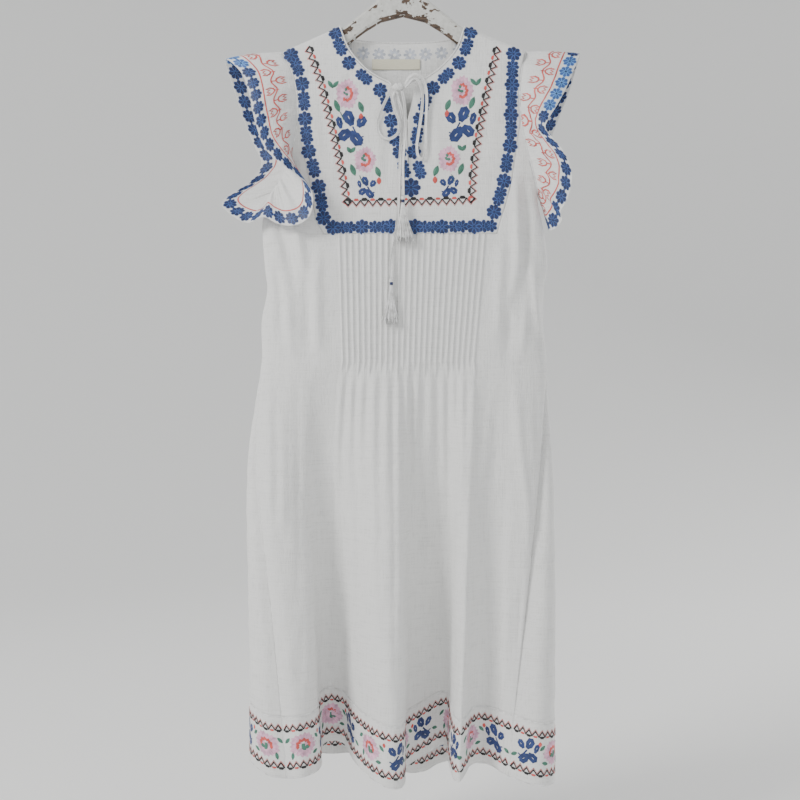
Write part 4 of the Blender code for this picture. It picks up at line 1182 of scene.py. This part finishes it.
def zigzag(threads, points, pitch, tall, side, full=1.0):
    """Border of black teeth with a red edge, and a black or red leaf in each open end.

    points run along the tips of the teeth, and side turns from there to their open ends."""
    line = resample(points, 400)
    steps = distances(line)
    teeth = max(int(round(steps[-1] / pitch)), 2)
    aside = sideways(line) * side

    def at(distance, away):
        """Point of the border at a distance along it and away from the tips."""
        base = np.array([np.interp(distance, steps, line[:, k]) for k in (0, 1)])
        out = np.array([np.interp(distance, steps, aside[:, k]) for k in (0, 1)])
        return base + out * away

    step = steps[-1] / teeth
    corners, edge_line = [], []
    for k in range(teeth):
        corners += [at(k * step, tall), at((k + 0.5) * step, 0)]
        edge_line += [at(k * step, tall - 2.4), at((k + 0.5) * step, -2.4)]
    corners.append(at(steps[-1], tall))
    edge_line.append(at(steps[-1], tall - 2.4))
    threads.line(edge_line, 1.0, "red", high=0.4)
    threads.line(corners, 2.6, "black", high=0.6, low=0.4)
    for k in range(teeth):
        middle = (k + 0.5) * step
        dark = k % 2 == 0
        reach, bulge = (0.46, 3.4 * full) if dark else (0.36, 2.6 * full)
        lens = [at(middle + step * reach * along, tall - down)
                for along, down in ((-1, 0.2), (-0.4, 0.9), (0.4, 0.9), (1, 0.2),
                                    (0.5, 0.9 - bulge), (-0.5, 0.9 - bulge))]
        threads.patch(lens, "black" if dark else "red", 0.65, 0.42)


def build_yoke_threads():
    """Embroidery of the yoke: flower chains, zigzag border and the two flower sprays."""
    threads = Threads()
    for centres in (YOKE_CHAIN_LEFT, YOKE_CHAIN_FOOT, YOKE_CHAIN_RIGHT):
        chain(threads, centres, YOKE_FLOWER)
    for centres in (NECK_CHAIN_LEFT, NECK_CHAIN_RIGHT):
        chain(threads, centres, SMALL_FLOWER)
    flower(threads, SLIT_FLOWER, SLIT_RADIUS)
    for line, side in ((BORDER_LEFT, -1), (BORDER_FOOT, -1), (BORDER_RIGHT, 1)):
        zigzag(threads, line, *YOKE_TEETH, side, 1.35)
    for flip, spray in ((1, SPRAY_LEFT), (-1, SPRAY_RIGHT)):
        for kind, across, drop, width, height in spray:
            if kind == "rose":
                rose(threads, (across, drop), width, height, 0.35 if flip > 0 else 0.1)
            elif kind == "wings":
                butterfly(threads, (across, drop), width, height, flip)
            elif kind == "leaf":
                leaf(threads, (across, drop), height, width, 1.2 * flip, "green", "green_dark")
            elif kind == "bud":
                leaf(threads, (across, drop), height, width, 1.57, "red")
            elif kind == "stem":
                threads.line([(across - width / 2, drop - height / 2), (across, drop),
                              (across + width / 2, drop + height / 2)], 1.3, "green_dark")
            elif kind == "crook":
                for away, turn in ((-0.3, 1.0), (0.3, 2.3)):
                    leaf(threads, (across + flip * width * away, drop), height, 6.0,
                         turn if flip > 0 else math.pi - turn, "green", "green_dark")
    # Grey line down the centre front where the yoke halves meet: painted shade of the join
    slit = resample([SLIT_LEFT[2], (7, 170), (8, 206)], 14)
    threads.line(slit, 0.8, "seam", high=0.15)
    return threads.build("yoke_embroidery", yoke_surface, 1, 0.4)


def build_back_neck_threads():
    """Flower chain outside the back neck, and inside its reverse as pale patches: painted shade of the
    chain seen through the cloth.
    """
    line = resample(NECK_BACK, 10)
    aside = sideways(line)
    aside *= np.sign(aside[:, 1:2] + 1e-6)
    centres = line + aside * 15
    outside, inside = Threads(), Threads()
    chain(outside, centres[1:-1], 10.8, doubles=False)
    # Pale petals inside: painted shade of the outside chain seen through the thin cloth
    for centre in centres[1:-1]:
        for k in range(8):
            shape = petal(1.8, 9.8, 2.6)
            inside.patch(turned(shape, centre, 2 * math.pi * k / 8), "faint", 0.2)
    outside.build("back_neck_embroidery", back_surface, -1, 0.4)
    inside.build("back_neck_reverse_shade", back_surface, 1, 0.4, 0.2)


def band_chart(table, surface):
    """Flat coordinates of the hem band: millimetres along the hem and up from it."""
    index = np.linspace(0, len(table) - 1, 900)
    line = surface(index, np.full(900, 0.93))
    lengths = distances(line) / MM

    def chart(along, up):
        """Point of the band; up may reach a little past its edges."""
        along, up = np.asarray(along, float), np.asarray(up, float)
        at = np.interp(along, lengths, index)
        return surface(at, np.clip(1 - up / (HEM - RELEASE), 0.0, 0.9999))

    return chart, lengths[-1]


def build_band_threads(name, table, surface, sign):
    """Embroidery of the hem band: two toothed borders with flowers and leaves between."""
    chart, total = band_chart(table, surface)
    threads = Threads()
    start, end = 2.0, total - 2.0
    for low in (HEM_BORDER, HEM_BORDER + HEM_BORDER_GAP):
        line = [(start + (end - start) * k / 8, low + BAND_TEETH[1]) for k in range(9)]
        zigzag(threads, line, *BAND_TEETH, -1)
    middle = HEM_BORDER + HEM_BORDER_GAP * 0.55
    count = int(total // BAND_REPEAT)
    step = total / count
    for k in range(count):
        centre = (k + 0.5) * step
        flip = 1 if k % 2 else -1
        rose(threads, (centre - step * 0.22, middle + 1), 38, 31, math.pi / 2)
        butterfly(threads, (centre + step * 0.25, middle), 29, -31, flip)
        for away, up, angle in ((-0.44, 9, 0.7), (-0.38, -12, 1.4), (-0.04, -12, 0.2),
                                (0.01, 8, -0.7), (0.44, -9, -0.5)):
            leaf(threads, (centre + step * away, middle + up), 10.5, 5.0, angle, "green", "green_dark")
        leaf(threads, (centre + step * 0.05, middle + 13), 6.5, 5.0, 1.57, "red")
    threads.reverse = len(threads.faces) if surface is back_skirt else 0
    return threads.build(name, chart, sign, 0.4, 0.55)


def sleeve_chart(table, hand):
    """Flat coordinates of a sleeve: millimetres round its hem and up from it."""
    ring = np.linspace(0, len(table), 900)
    hem = sleeve_surface(table, hand, ring, np.full(900, 0.97))
    rim = sleeve_surface(table, hand, ring, np.zeros(900))
    lengths = distances(hem) / MM
    tall = np.linalg.norm(hem - rim, axis=1) / MM / 0.97

    def chart(along, up):
        """Point of the sleeve at a distance round its hem and up from it."""
        along, up = np.mod(np.asarray(along, float), lengths[-1]), np.asarray(up, float)
        at = np.interp(along, lengths, ring)
        return sleeve_surface(table, hand, at, 1 - up / np.interp(along, lengths, tall))

    return chart, lengths[-1], lambda along: np.interp(along, lengths, tall)


def tulip(threads, centre, size, angle):
    """Goblet outline of red thread on a short stalk."""
    cup = [(-0.42, -0.5), (-0.5, -0.1), (-0.3, 0.28), (0, 0.42), (0.3, 0.28), (0.5, -0.1),
           (0.42, -0.5), (0.2, -0.12), (0, -0.42), (-0.2, -0.12)]
    threads.line(turned(cup, centre, angle, size), 2.5, "sleeve_red", closed=True)
    threads.line(turned([(0, 0.42), (0, 0.85)], centre, angle, size), 1.9, "sleeve_red")


def build_sleeve_threads(name, table, hand, sign, bright):
    """Embroidery of a sleeve: a flower chain at the hem, a red line, and tulips on a vine."""
    chart, total, tall = sleeve_chart(table, hand)
    threads = Threads()
    count = int(round(total / SLEEVE_FLOWER_STEP))
    centres = [(total * k / count, SLEEVE_CHAIN) for k in range(count)]
    # Flowers in the sunlit stretch round the hem are drawn in painted sunlight: lighter blues
    lit = [k for k in range(count) if bright[0] <= k / count <= bright[1]]
    chain(threads, centres, SMALL_FLOWER, lit, doubles=False)
    around = np.linspace(0, total, 300)
    threads.line(np.stack([around, np.full(300, SLEEVE_LINE)], 1), 2.2, "sleeve_red")
    threads.reverse = len(threads.faces)
    wave = np.linspace(0, total, 420)
    waves = int(round(total / TULIP_STEP))
    middle = np.minimum(SLEEVE_LINE + 17, tall(wave) * 0.72)
    vine = middle + 3.4 * np.sin(2 * np.pi * waves * wave / total)
    threads.line(np.stack([wave, vine], 1), 2.1, "sleeve_red")
    for k in range(waves * 2):
        along = total * (k + 0.5) / (waves * 2)
        level = min(SLEEVE_LINE + 17, float(tall(along)) * 0.72)
        up = level + (9 if k % 2 else -6)
        tulip(threads, (along, up), TULIP, math.pi if k % 2 else 0.0)
    return threads.build(name, chart, sign, 0.5)


def lifted(route):
    """Route of a tie, from its lift off the cloth to a distance forward."""
    route = np.asarray(route, float)
    forward = depth(route[:, 0], route[:, 1], 1) + route[:, 2]
    return np.column_stack([route[:, 0], route[:, 1], forward])


def tape(name, route, width, spacing=2.2):
    """Flat folded tape along a lifted route: bright rolled edges and a sunk middle."""
    length = float(distances(np.asarray(route))[-1])
    line = resample(lifted(route), max(int(length / spacing), 12))
    path = place(line[:, 0], line[:, 1], line[:, 2])
    run = unit(np.gradient(path, axis=0))
    count = len(path)
    twist = 0.5 * np.sin(np.linspace(0, 1, count) * length / 26 + len(name))
    aside = unit(np.cross(run, np.array((0.0, -1.0, 0.0))))
    out = np.cross(aside, run)
    flat_side = aside * np.cos(twist)[:, None] + out * np.sin(twist)[:, None]
    face = np.cross(flat_side, run)
    profile = [(-0.5, 0.0), (-0.47, 0.16), (-0.36, 0.22), (-0.26, 0.1), (0.26, 0.1), (0.36, 0.22),
               (0.47, 0.16), (0.5, 0.0), (0.36, -0.16), (0.0, -0.12), (-0.36, -0.16)]
    rings = [path + (flat_side * a + face * b) * width * MM for a, b in profile]
    faces = tube_faces(len(profile), count)
    return object_from(name, np.concatenate(rings), faces, [TAPE]), path


def build_ties():
    """The tie: two loops and two tails of tape."""
    made = {}
    for name, route, node in (("tie_loop_left", LOOP_LEFT, "bow_loop_left"),
                              ("tie_loop_right", LOOP_RIGHT, "bow_loop_right"),
                              ("tie_end_short", TAIL_SHORT, "tie_tail_short"),
                              ("tie_end_long", TAIL_LONG, "tie_tail_long")):
        piece, path = tape(name, route, TAPE_WIDTH)
        made[name] = (carried(piece, "white_binding", node), path)
    return made


def ring_points(radius, count):
    """Points of a level ring."""
    angle = np.linspace(0, 2 * np.pi, count, endpoint=False)
    return np.stack([np.cos(angle), np.sin(angle)], 1) * radius


def build_tassel(name, place_at, turn, node):
    """A tassel: a wrapped knob, a navy binding and loose twisted strands."""
    across, drop, lift, length, spread = place_at
    length *= 1.16
    spread *= 1.12
    points, faces, colours = [], [], []

    def lathe(profile, colour, sides=16):
        """Turned surface about the tassel's own line."""
        first = len(points)
        for radius, down in profile:
            points.extend((x, y, -down) for x, y in ring_points(radius, sides))
        own = ring_faces(first, len(profile), sides)
        faces.extend(own)
        colours.extend([colour] * len(own))

    knob = [(0.3, 0.0), (1.7, 0.5), (2.7, 1.5), (3.2, 3.0), (2.9, 4.6), (2.1, 5.8), (1.9, 6.4)]
    lathe(knob, 0)
    wrap = [(1.9, 5.6)]
    for k in range(5):
        wrap += [(2.45, 6.0 + k * 0.75), (2.15, 6.35 + k * 0.75)]
    lathe(wrap + [(1.9, 9.9)], 1)
    core = [(spread * wide, STRANDS_START + length * down)
            for wide, down in ((0.30, 0.4), (0.56, 0.8), (0.5, 0.86))]
    first = len(points)
    lathe([(1.5, 8.6)] + core + [(0.2, STRANDS_START + length * 0.87)], 2)
    for k in range(first, len(points)):
        points[k] = (points[k][0] + turn * 0.5, points[k][1] * 0.4, points[k][2])
    for number in range(STRANDS):
        angle = number * GOLDEN_ANGLE + turn
        reach = math.sqrt((number + 0.5) / STRANDS)
        own = length * (0.92 + 0.08 * math.sin(number * 4.1))
        sway = 1.1 * math.sin(number * 1.7)
        first = len(points)
        for i in range(STRAND_STEPS):
            t = i / (STRAND_STEPS - 1)
            out = 1.6 * reach + (spread - 1.6) * reach * (0.25 * t + 0.75 * t ** 1.6)
            bend = 0.8 * math.sin(5 * t + number) * t
            x = math.cos(angle) * out + turn * t + sway * t + bend
            y = math.sin(angle) * out * 0.42 - abs(math.sin(angle)) * 0.6 * t
            points.extend((x + a, y + b, -STRANDS_START - own * t)
                          for a, b in ring_points(STRAND_RADIUS, STRAND_SIDES))
        faces += ring_faces(first, STRAND_STEPS, STRAND_SIDES)
        faces.append(list(range(len(points) - STRAND_SIDES, len(points))))
        colours += [2] * (len(faces) - len(colours))
    start = float(depth(across, drop, 1))
    slope = (float(depth(across, drop + length, 1)) - start) / length
    tilt = -math.atan(slope)
    moved = []
    for x, y, z in points:
        moved.append((x * MM, (y * math.cos(tilt) - z * math.sin(tilt)) * MM,
                      (y * math.sin(tilt) + z * math.cos(tilt)) * MM))
    origin = place(across, drop, start + lift)
    made = object_from(name, np.array(moved) + origin, faces,
                       [TAPE, THREAD["navy"], THREAD["yarn"]], colours)
    return carried(made, "white_binding", node)


def build_knot():
    """The bow's knot: two wraps of tape pulled over each other."""
    mesh = bmesh.new()
    bmesh.ops.create_uvsphere(mesh, u_segments=40, v_segments=28, radius=1.0)
    for vert in mesh.verts:
        x, y, z = vert.co
        groove = 0.10 * math.cos(7 * x + 3 * z) - 0.16 * math.exp(-((x - 0.15 + 0.3 * z) / 0.13) ** 2)
        size = 1 + groove * (1 - x * x)
        vert.co = Vector((x * KNOT_HALF[0] * (0.96 + 0.04 * math.cos(5 * z)),
                          y * KNOT_HALF[2] * size, z * KNOT_HALF[1] * size)) * MM
    data = bpy.data.meshes.new("tie_knot")
    mesh.to_mesh(data)
    mesh.free()
    data.materials.append(TAPE)
    data.polygons.foreach_set("use_smooth", [True] * len(data.polygons))
    knot = bpy.data.objects.new("tie_knot", data)
    bpy.context.scene.collection.objects.link(knot)
    forward = float(depth(KNOT[0], KNOT[1], 1)) + KNOT[2]
    knot.location = place(KNOT[0], KNOT[1], forward)
    return carried(knot, "white_binding", "bow_knot")


def roll(path, radius, sides=8):
    """Points and faces of a round roll of cloth along a path, in metres."""
    path = np.asarray(path, float)
    run = unit(np.gradient(path, axis=0))
    guide = np.where(np.abs(run[:, 1:2]) < 0.8, [[0.0, 1.0, 0.0]], [[0.0, 0.0, 1.0]])
    aside = unit(np.cross(run, guide))
    up = np.cross(aside, run)
    count = len(path)
    radius = np.broadcast_to(radius, count)[:, None] * MM
    angles = [2 * math.pi * k / sides for k in range(sides)]
    rings = [path + (aside * math.cos(a) + up * math.sin(a)) * radius for a in angles]
    return np.concatenate(rings), tube_faces(sides, count)


def rolls(name, paths, finish, slot, *nodes):
    """One piece of several rolls."""
    points, faces = [], []
    count = 0
    for path, radius in paths:
        own, own_faces = roll(path, radius)
        points.append(own)
        faces += [[n + count for n in face] for face in own_faces]
        count += len(own)
    return carried(object_from(name, np.concatenate(points), faces, [finish]), slot, *nodes)


def build_seams():
    """Rolled seam allowances: the sides, the top of the hem band and the armholes."""
    paths = []
    drops = np.linspace(UNDERARM + 1, RELEASE, 40)
    falls = np.linspace(0, 0.9995, 130)
    for side in (-1, 1):
        front_end = 0.0 if side < 0 else len(FRONT_FOLDS) - 1.0
        back_end = 0.0 if side < 0 else len(BACK_FOLDS) - 1.0
        rim = edge(drops, side)
        upper = (front_surface(rim, drops) + back_surface(rim, drops)) / 2
        front = front_skirt(np.full(len(falls), front_end), falls)
        back = back_skirt(np.full(len(falls), back_end), falls)
        gap = np.linalg.norm(front - back, axis=1) / MM
        paths.append((upper, 0.9))
        paths.append(((front + back) / 2, np.clip(gap * 0.6 + 0.2, 0.9, 3.0)))
        paths += [(front, 0.8), (back, 0.8)]
    for table, surface in ((FRONT_FOLDS, front_skirt), (BACK_FOLDS, back_skirt)):
        index = np.linspace(0, len(table) - 1, 330)
        paths.append((surface(index, np.full(330, BAND_FALL)), 0.95))
        paths.append((surface(index, np.full(330, 0.9985)), 0.85))
    for table, hand in ((LEFT_SLEEVE, -1), (RIGHT_SLEEVE, 1)):
        ring = np.linspace(0, len(table), 220)
        rim = sleeve_surface(table, hand, ring, np.full(220, 0.004))
        paths.append((rim - np.array([hand * 0.7 * MM, 0, 0]), 0.95))
    return rolls("seam_rolls", paths, THREAD["yarn"], "white_cotton")


def edge_route(points, side, away):
    """Route of the binding just outside one edge of cloth."""
    line = resample(points, 24)
    moved = line - sideways(line) * away
    return np.column_stack([moved, depth(line[:, 0], line[:, 1], side)])


def over_shoulder(neck, inward):
    """The binding's way over a neck point, from the front edge to the back one."""
    return [(neck + inward * across, drop, forward) for across, drop, forward in SHOULDER_TURN]


def build_binding():
    """Thin rolled binding round the neck, from one end of the tie to the other."""
    away = BINDING_RADIUS + 0.9
    left = edge_route(NECK_LEFT[:5], 1, away)[::-1]
    right = edge_route(NECK_RIGHT[:4], 1, -away)
    back = edge_route(NECK_BACK, -1, away)
    route = [(-16.2, 89.6, 20.5), (-19.5, 84.0, 18)]
    route += [p for p in left.tolist() if p[1] > 15 and p[0] < -22]
    route += over_shoulder(-94, 1) + [p for p in back.tolist() if p[1] > 13]
    route += over_shoulder(92, -1)[::-1] + [p for p in right.tolist() if p[1] > 15 and p[0] > 30]
    route += [(24, 80.5, 18.6), (17, 81.5, 19.5), (10, 86, 20), (5, 90.5, 20.4), (1.8, 92, 20.6)]
    line = resample(route, 420)
    path = place(line[:, 0], line[:, 1], line[:, 2])
    stitched = BINDING_RADIUS * (1 + 0.05 * np.cos(np.arange(420) * 1.1))
    return rolls("neck_binding_roll", [(path, stitched)], TAPE, "white_binding", "neck_binding")


def build_label():
    """Bare woven label inside the back neck, a little bowed."""
    across, drop, half_width, half_height = LABEL
    u = np.linspace(across - half_width, across + half_width, 60)[None, :]
    v = np.linspace(drop - half_height, drop + half_height, 16)[:, None]
    bow = 0.25 * np.sin((u - across) / 9.0) * np.cos(v / 5.0)
    forward = depth(u, v, -1) + CLOTH / 2 + LAY + LABEL_THICK / 2 + bow
    grid = place(u, v, forward)
    return cloth("neck_label_cloth", [(grid, False)], VOILE, ["neck_label"])


def finish_of(name, colour, roughness, sheen=0.0, metallic=0.0):
    """New material, its node tree and its shader."""
    made = bpy.data.materials.new(name)
    made.use_nodes = True
    tree = made.node_tree
    shader = tree.nodes["Principled BSDF"]
    shader.inputs["Base Color"].default_value = (*colour, 1.0)
    shader.inputs["Roughness"].default_value = roughness
    shader.inputs["Sheen Weight"].default_value = sheen
    shader.inputs["Metallic"].default_value = metallic
    return made, tree, shader


def stretched_noise(tree, scale, size, detail=2.0):
    """Noise in the object's own metres, stretched by a scale along each axis."""
    place_in = tree.nodes.new("ShaderNodeTexCoord")
    mapping = tree.nodes.new("ShaderNodeMapping")
    mapping.inputs["Scale"].default_value = scale
    noise = tree.nodes.new("ShaderNodeTexNoise")
    noise.inputs["Scale"].default_value = size
    noise.inputs["Detail"].default_value = detail
    tree.links.new(place_in.outputs["Object"], mapping.inputs["Vector"])
    tree.links.new(mapping.outputs["Vector"], noise.inputs["Vector"])
    return noise.outputs["Fac"]


def ramp(tree, value, stops):
    """Colours read from a value; stops are (position, colour)."""
    node = tree.nodes.new("ShaderNodeValToRGB")
    while len(node.color_ramp.elements) < len(stops):
        node.color_ramp.elements.new(0.5)
    for element, (position, colour) in zip(node.color_ramp.elements, stops):
        element.position = position
        element.color = (*colour, 1.0)
    tree.links.new(value, node.inputs["Fac"])
    return node.outputs["Color"]


def summed(tree, a, b, share):
    """One value plus a share of another."""
    node = tree.nodes.new("ShaderNodeMath")
    node.operation = "MULTIPLY_ADD"
    node.inputs[1].default_value = share
    tree.links.new(b, node.inputs[0])
    tree.links.new(a, node.inputs[2])
    return node.outputs["Value"]


def raised_by(tree, shader, height, strength, distance):
    """Bump on a shader from a height value."""
    bump = tree.nodes.new("ShaderNodeBump")
    bump.inputs["Strength"].default_value = strength
    bump.inputs["Distance"].default_value = distance
    tree.links.new(height, bump.inputs["Height"])
    tree.links.new(bump.outputs["Normal"], shader.inputs["Normal"])


def coloured(tree, shader, value, *stops):
    """Colour of a shader from a value."""
    tree.links.new(ramp(tree, value, stops), shader.inputs["Base Color"])


def grained(name, colour, roughness, sheen, metallic, scale, size, strength, distance, *stops):
    """Material with one fine grain that raises it and varies its colour."""
    made, tree, shader = finish_of(name, colour, roughness, sheen, metallic)
    grain = stretched_noise(tree, scale, size)
    raised_by(tree, shader, grain, strength, distance)
    coloured(tree, shader, grain, *stops)
    return made


def cotton_material():
    """Thin washed cotton with slubs: thick threads here and there, both ways."""
    made, tree, shader = finish_of("cotton_voile", COTTON_WHITE, 0.88, 0.12)
    warp = stretched_noise(tree, (1.0, 1.0, 0.05), 620)
    weft = stretched_noise(tree, (0.06, 0.06, 1.0), 560)
    crumple = stretched_noise(tree, (1.0, 1.0, 0.7), 46, 4.0)
    weave = summed(tree, warp, weft, 0.9)
    raised_by(tree, shader, summed(tree, weave, crumple, 3.2), 0.8, 0.0009)
    shade = summed(tree, warp, weft, 1.0)
    low = tuple(c * 0.88 for c in COTTON_WHITE)
    high = tuple(min(c * 1.05, 1.0) for c in COTTON_WHITE)
    coloured(tree, shader, shade, (0.55, low), (1.35, high))
    return made


def thread_material(name, colour):
    """Glossy stranded cotton laid side by side, a little uneven in colour."""
    made, tree, shader = finish_of("thread_" + name, colour, 0.5, 0.06)
    strands = stretched_noise(tree, (1.0, 1.0, 1.0), 900)
    patchy = stretched_noise(tree, (1.0, 1.0, 1.0), 130)
    raised_by(tree, shader, strands, 0.6, 0.0004)
    dark = tuple(c * 0.72 for c in colour)
    light = tuple(min(c * 1.3 + 0.01, 1.0) for c in colour)
    coloured(tree, shader, patchy, (0.3, dark), (0.7, light))
    return made


def tape_material():
    """Bias tape and the tassels' knobs of the same white cotton, fine and close."""
    return grained("cotton_tape", (0.8, 0.8, 0.79), 0.8, 0.15, 0.0, (1.0, 1.0, 0.3), 900, 0.5, 0.0003,
                   (0.3, (0.66, 0.66, 0.65)), (0.65, (0.86, 0.86, 0.85)))


def label_material():
    """Smooth cream tape, woven close, bare of any mark."""
    return grained("label_tape", (0.71, 0.68, 0.54), 0.6, 0.1, 0.0, (0.1, 0.1, 1.0), 1300, 0.4, 0.0002,
                   (0.3, (0.66, 0.63, 0.49)), (0.7, (0.74, 0.71, 0.57)))


def steel_material():
    """Satin steel wire with faint draw marks."""
    return grained("hook_wire", (0.58, 0.58, 0.58), 0.34, 0.0, 1.0, (1.0, 1.0, 0.08), 900, 0.2, 0.0001,
                   (0.3, (0.5, 0.5, 0.5)), (0.7, (0.66, 0.66, 0.66)))


def painted_wood_material():
    """Old white paint over brown wood, with chips, and more dark wood showing on faces that look down.
    """
    made, tree, shader = finish_of("worn_white_paint", (0.62, 0.62, 0.58), 0.55)
    geometry = tree.nodes.new("ShaderNodeNewGeometry")
    axes = tree.nodes.new("ShaderNodeSeparateXYZ")
    tree.links.new(geometry.outputs["Normal"], axes.inputs["Vector"])
    chips = stretched_noise(tree, (1.0, 1.0, 1.6), 60, 6.0)
    fine = stretched_noise(tree, (1.0, 1.0, 1.0), 260, 3.0)
    # Chips, plus more bare wood on faces that look down: darker towards the underside
    chips_and_facing = summed(tree, summed(tree, chips, fine, 0.3), axes.outputs["Z"], 0.3)
    mask = ramp(tree, chips_and_facing, ((0.545, (1, 1, 1)), (0.56, (0, 0, 0))))
    paint = ramp(tree, fine, ((0.3, (0.55, 0.55, 0.52)), (0.7, (0.68, 0.68, 0.65))))
    wood = ramp(tree, stretched_noise(tree, (1.0, 1.0, 8.0), 90, 3.0),
                ((0.3, (0.045, 0.03, 0.022)), (0.7, (0.14, 0.09, 0.06))))
    mix = tree.nodes.new("ShaderNodeMix")
    mix.data_type = "RGBA"
    tree.links.new(mask, mix.inputs["Factor"])
    tree.links.new(paint, mix.inputs["A"])
    tree.links.new(wood, mix.inputs["B"])
    tree.links.new(mix.outputs["Result"], shader.inputs["Base Color"])
    raised_by(tree, shader, summed(tree, fine, mask, -0.8), 0.4, 0.0006)
    return made


def dress_cad_node(name, finish):
    """Give a CAD node that stays its detailed material."""
    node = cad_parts[name]
    node.data.materials.clear()
    node.data.materials.append(finish)


def build_stage():
    """Pale bowl of a room: a level floor that curves up into its walls."""
    profile = [(0.0, 0.0), (2.4, 0.0)]
    for k in range(1, 13):
        angle = math.pi / 2 * k / 12
        profile.append((2.4 + 2.8 * math.sin(angle), 2.8 * (1 - math.cos(angle))))
    profile.append((5.2, 4.6))
    sides = 96
    points = []
    for radius, height in profile:
        for x, y in ring_points(max(radius, 0.001), sides):
            points.append((x, y, FLOOR + height))
    faces = [face[::-1] for face in ring_faces(0, len(profile), sides)]
    made, tree, shader = finish_of("pale_room", ROOM_COLOUR, 0.95)
    speck = stretched_noise(tree, (1.0, 1.0, 1.0), 30, 4.0)
    raised_by(tree, shader, speck, 0.05, 0.001)
    room = object_from("room", points, faces, [made])


def soft_light(name, position, target, size, watts, colour):
    """Square area light turned towards a point."""
    lamp = bpy.data.lights.new(name, "AREA")
    lamp.size = size
    lamp.energy = watts
    lamp.color = colour
    made = bpy.data.objects.new(name, lamp)
    made.location = position
    made.rotation_euler = (Vector(target) - Vector(position)).to_track_quat("-Z", "Y").to_euler()
    bpy.context.scene.collection.objects.link(made)


def build_lights():
    """Soft daylight from the front left, a weaker fill, a light behind, and a pale sky."""
    middle = (0.0, 0.0, -0.68)
    soft_light("key", (-2.6, -1.7, 1.3), middle, 1.0, KEY_WATTS, (1.0, 0.99, 0.97))
    soft_light("fill", (2.6, -2.2, -0.2), middle, 2.4, FILL_WATTS, (0.96, 0.98, 1.0))
    soft_light("back", (2.4, 1.9, 1.2), middle, 1.0, BACK_WATTS, (1.0, 0.99, 0.97))
    world = bpy.data.worlds.new("pale_sky")
    world.use_nodes = True
    background = world.node_tree.nodes["Background"]
    background.inputs["Color"].default_value = (0.95, 0.97, 1.0, 1.0)
    background.inputs["Strength"].default_value = SKY_STRENGTH
    bpy.context.scene.world = world


def build_camera():
    """Camera level with the middle of the dress and 1.5 m in front of the hanger."""
    data = bpy.data.cameras.new("camera")
    data.lens = LENS
    data.sensor_width = 36.0
    data.clip_end = 40.0
    camera = bpy.data.objects.new("camera", data)
    camera.location = CAMERA
    camera.rotation_euler = (math.pi / 2, 0.0, 0.0)
    bpy.context.scene.collection.objects.link(camera)
    bpy.context.scene.camera = camera


build_camera()
COTTON = cotton_material()
TAPE = tape_material()
THREAD = {name: thread_material(name, colour) for name, colour in THREAD_COLOURS.items()}

ties = build_ties()
tassel_short = build_tassel("tassel_upper", TASSEL_SHORT, 1.0, "tassel_short")
tassel_long = build_tassel("tassel_lower", TASSEL_LONG, -1.0, "tassel_long")
build_knot()

build_yoke()
build_front()
build_back()
build_bands()
build_sleeve("sleeve_left_cloth", LEFT_SLEEVE, -1, "sleeve_left")
build_sleeve("sleeve_right_cloth", RIGHT_SLEEVE, 1, "sleeve_right")
label = build_label()
label.data.materials[0] = label_material()

build_seams()
build_binding()
build_yoke_threads()
build_back_neck_threads()
build_band_threads("hem_embroidery_front", FRONT_FOLDS, front_skirt, -1)
build_band_threads("hem_embroidery_back", BACK_FOLDS, back_skirt, 1)
build_sleeve_threads("sleeve_left_embroidery", LEFT_SLEEVE, -1, -1, LEFT_SUNLIT)
build_sleeve_threads("sleeve_right_embroidery", RIGHT_SLEEVE, 1, 1, RIGHT_SUNLIT)

dress_cad_node("hanger_body", painted_wood_material())
dress_cad_node("hanger_hook", steel_material())

build_stage()
build_lights()
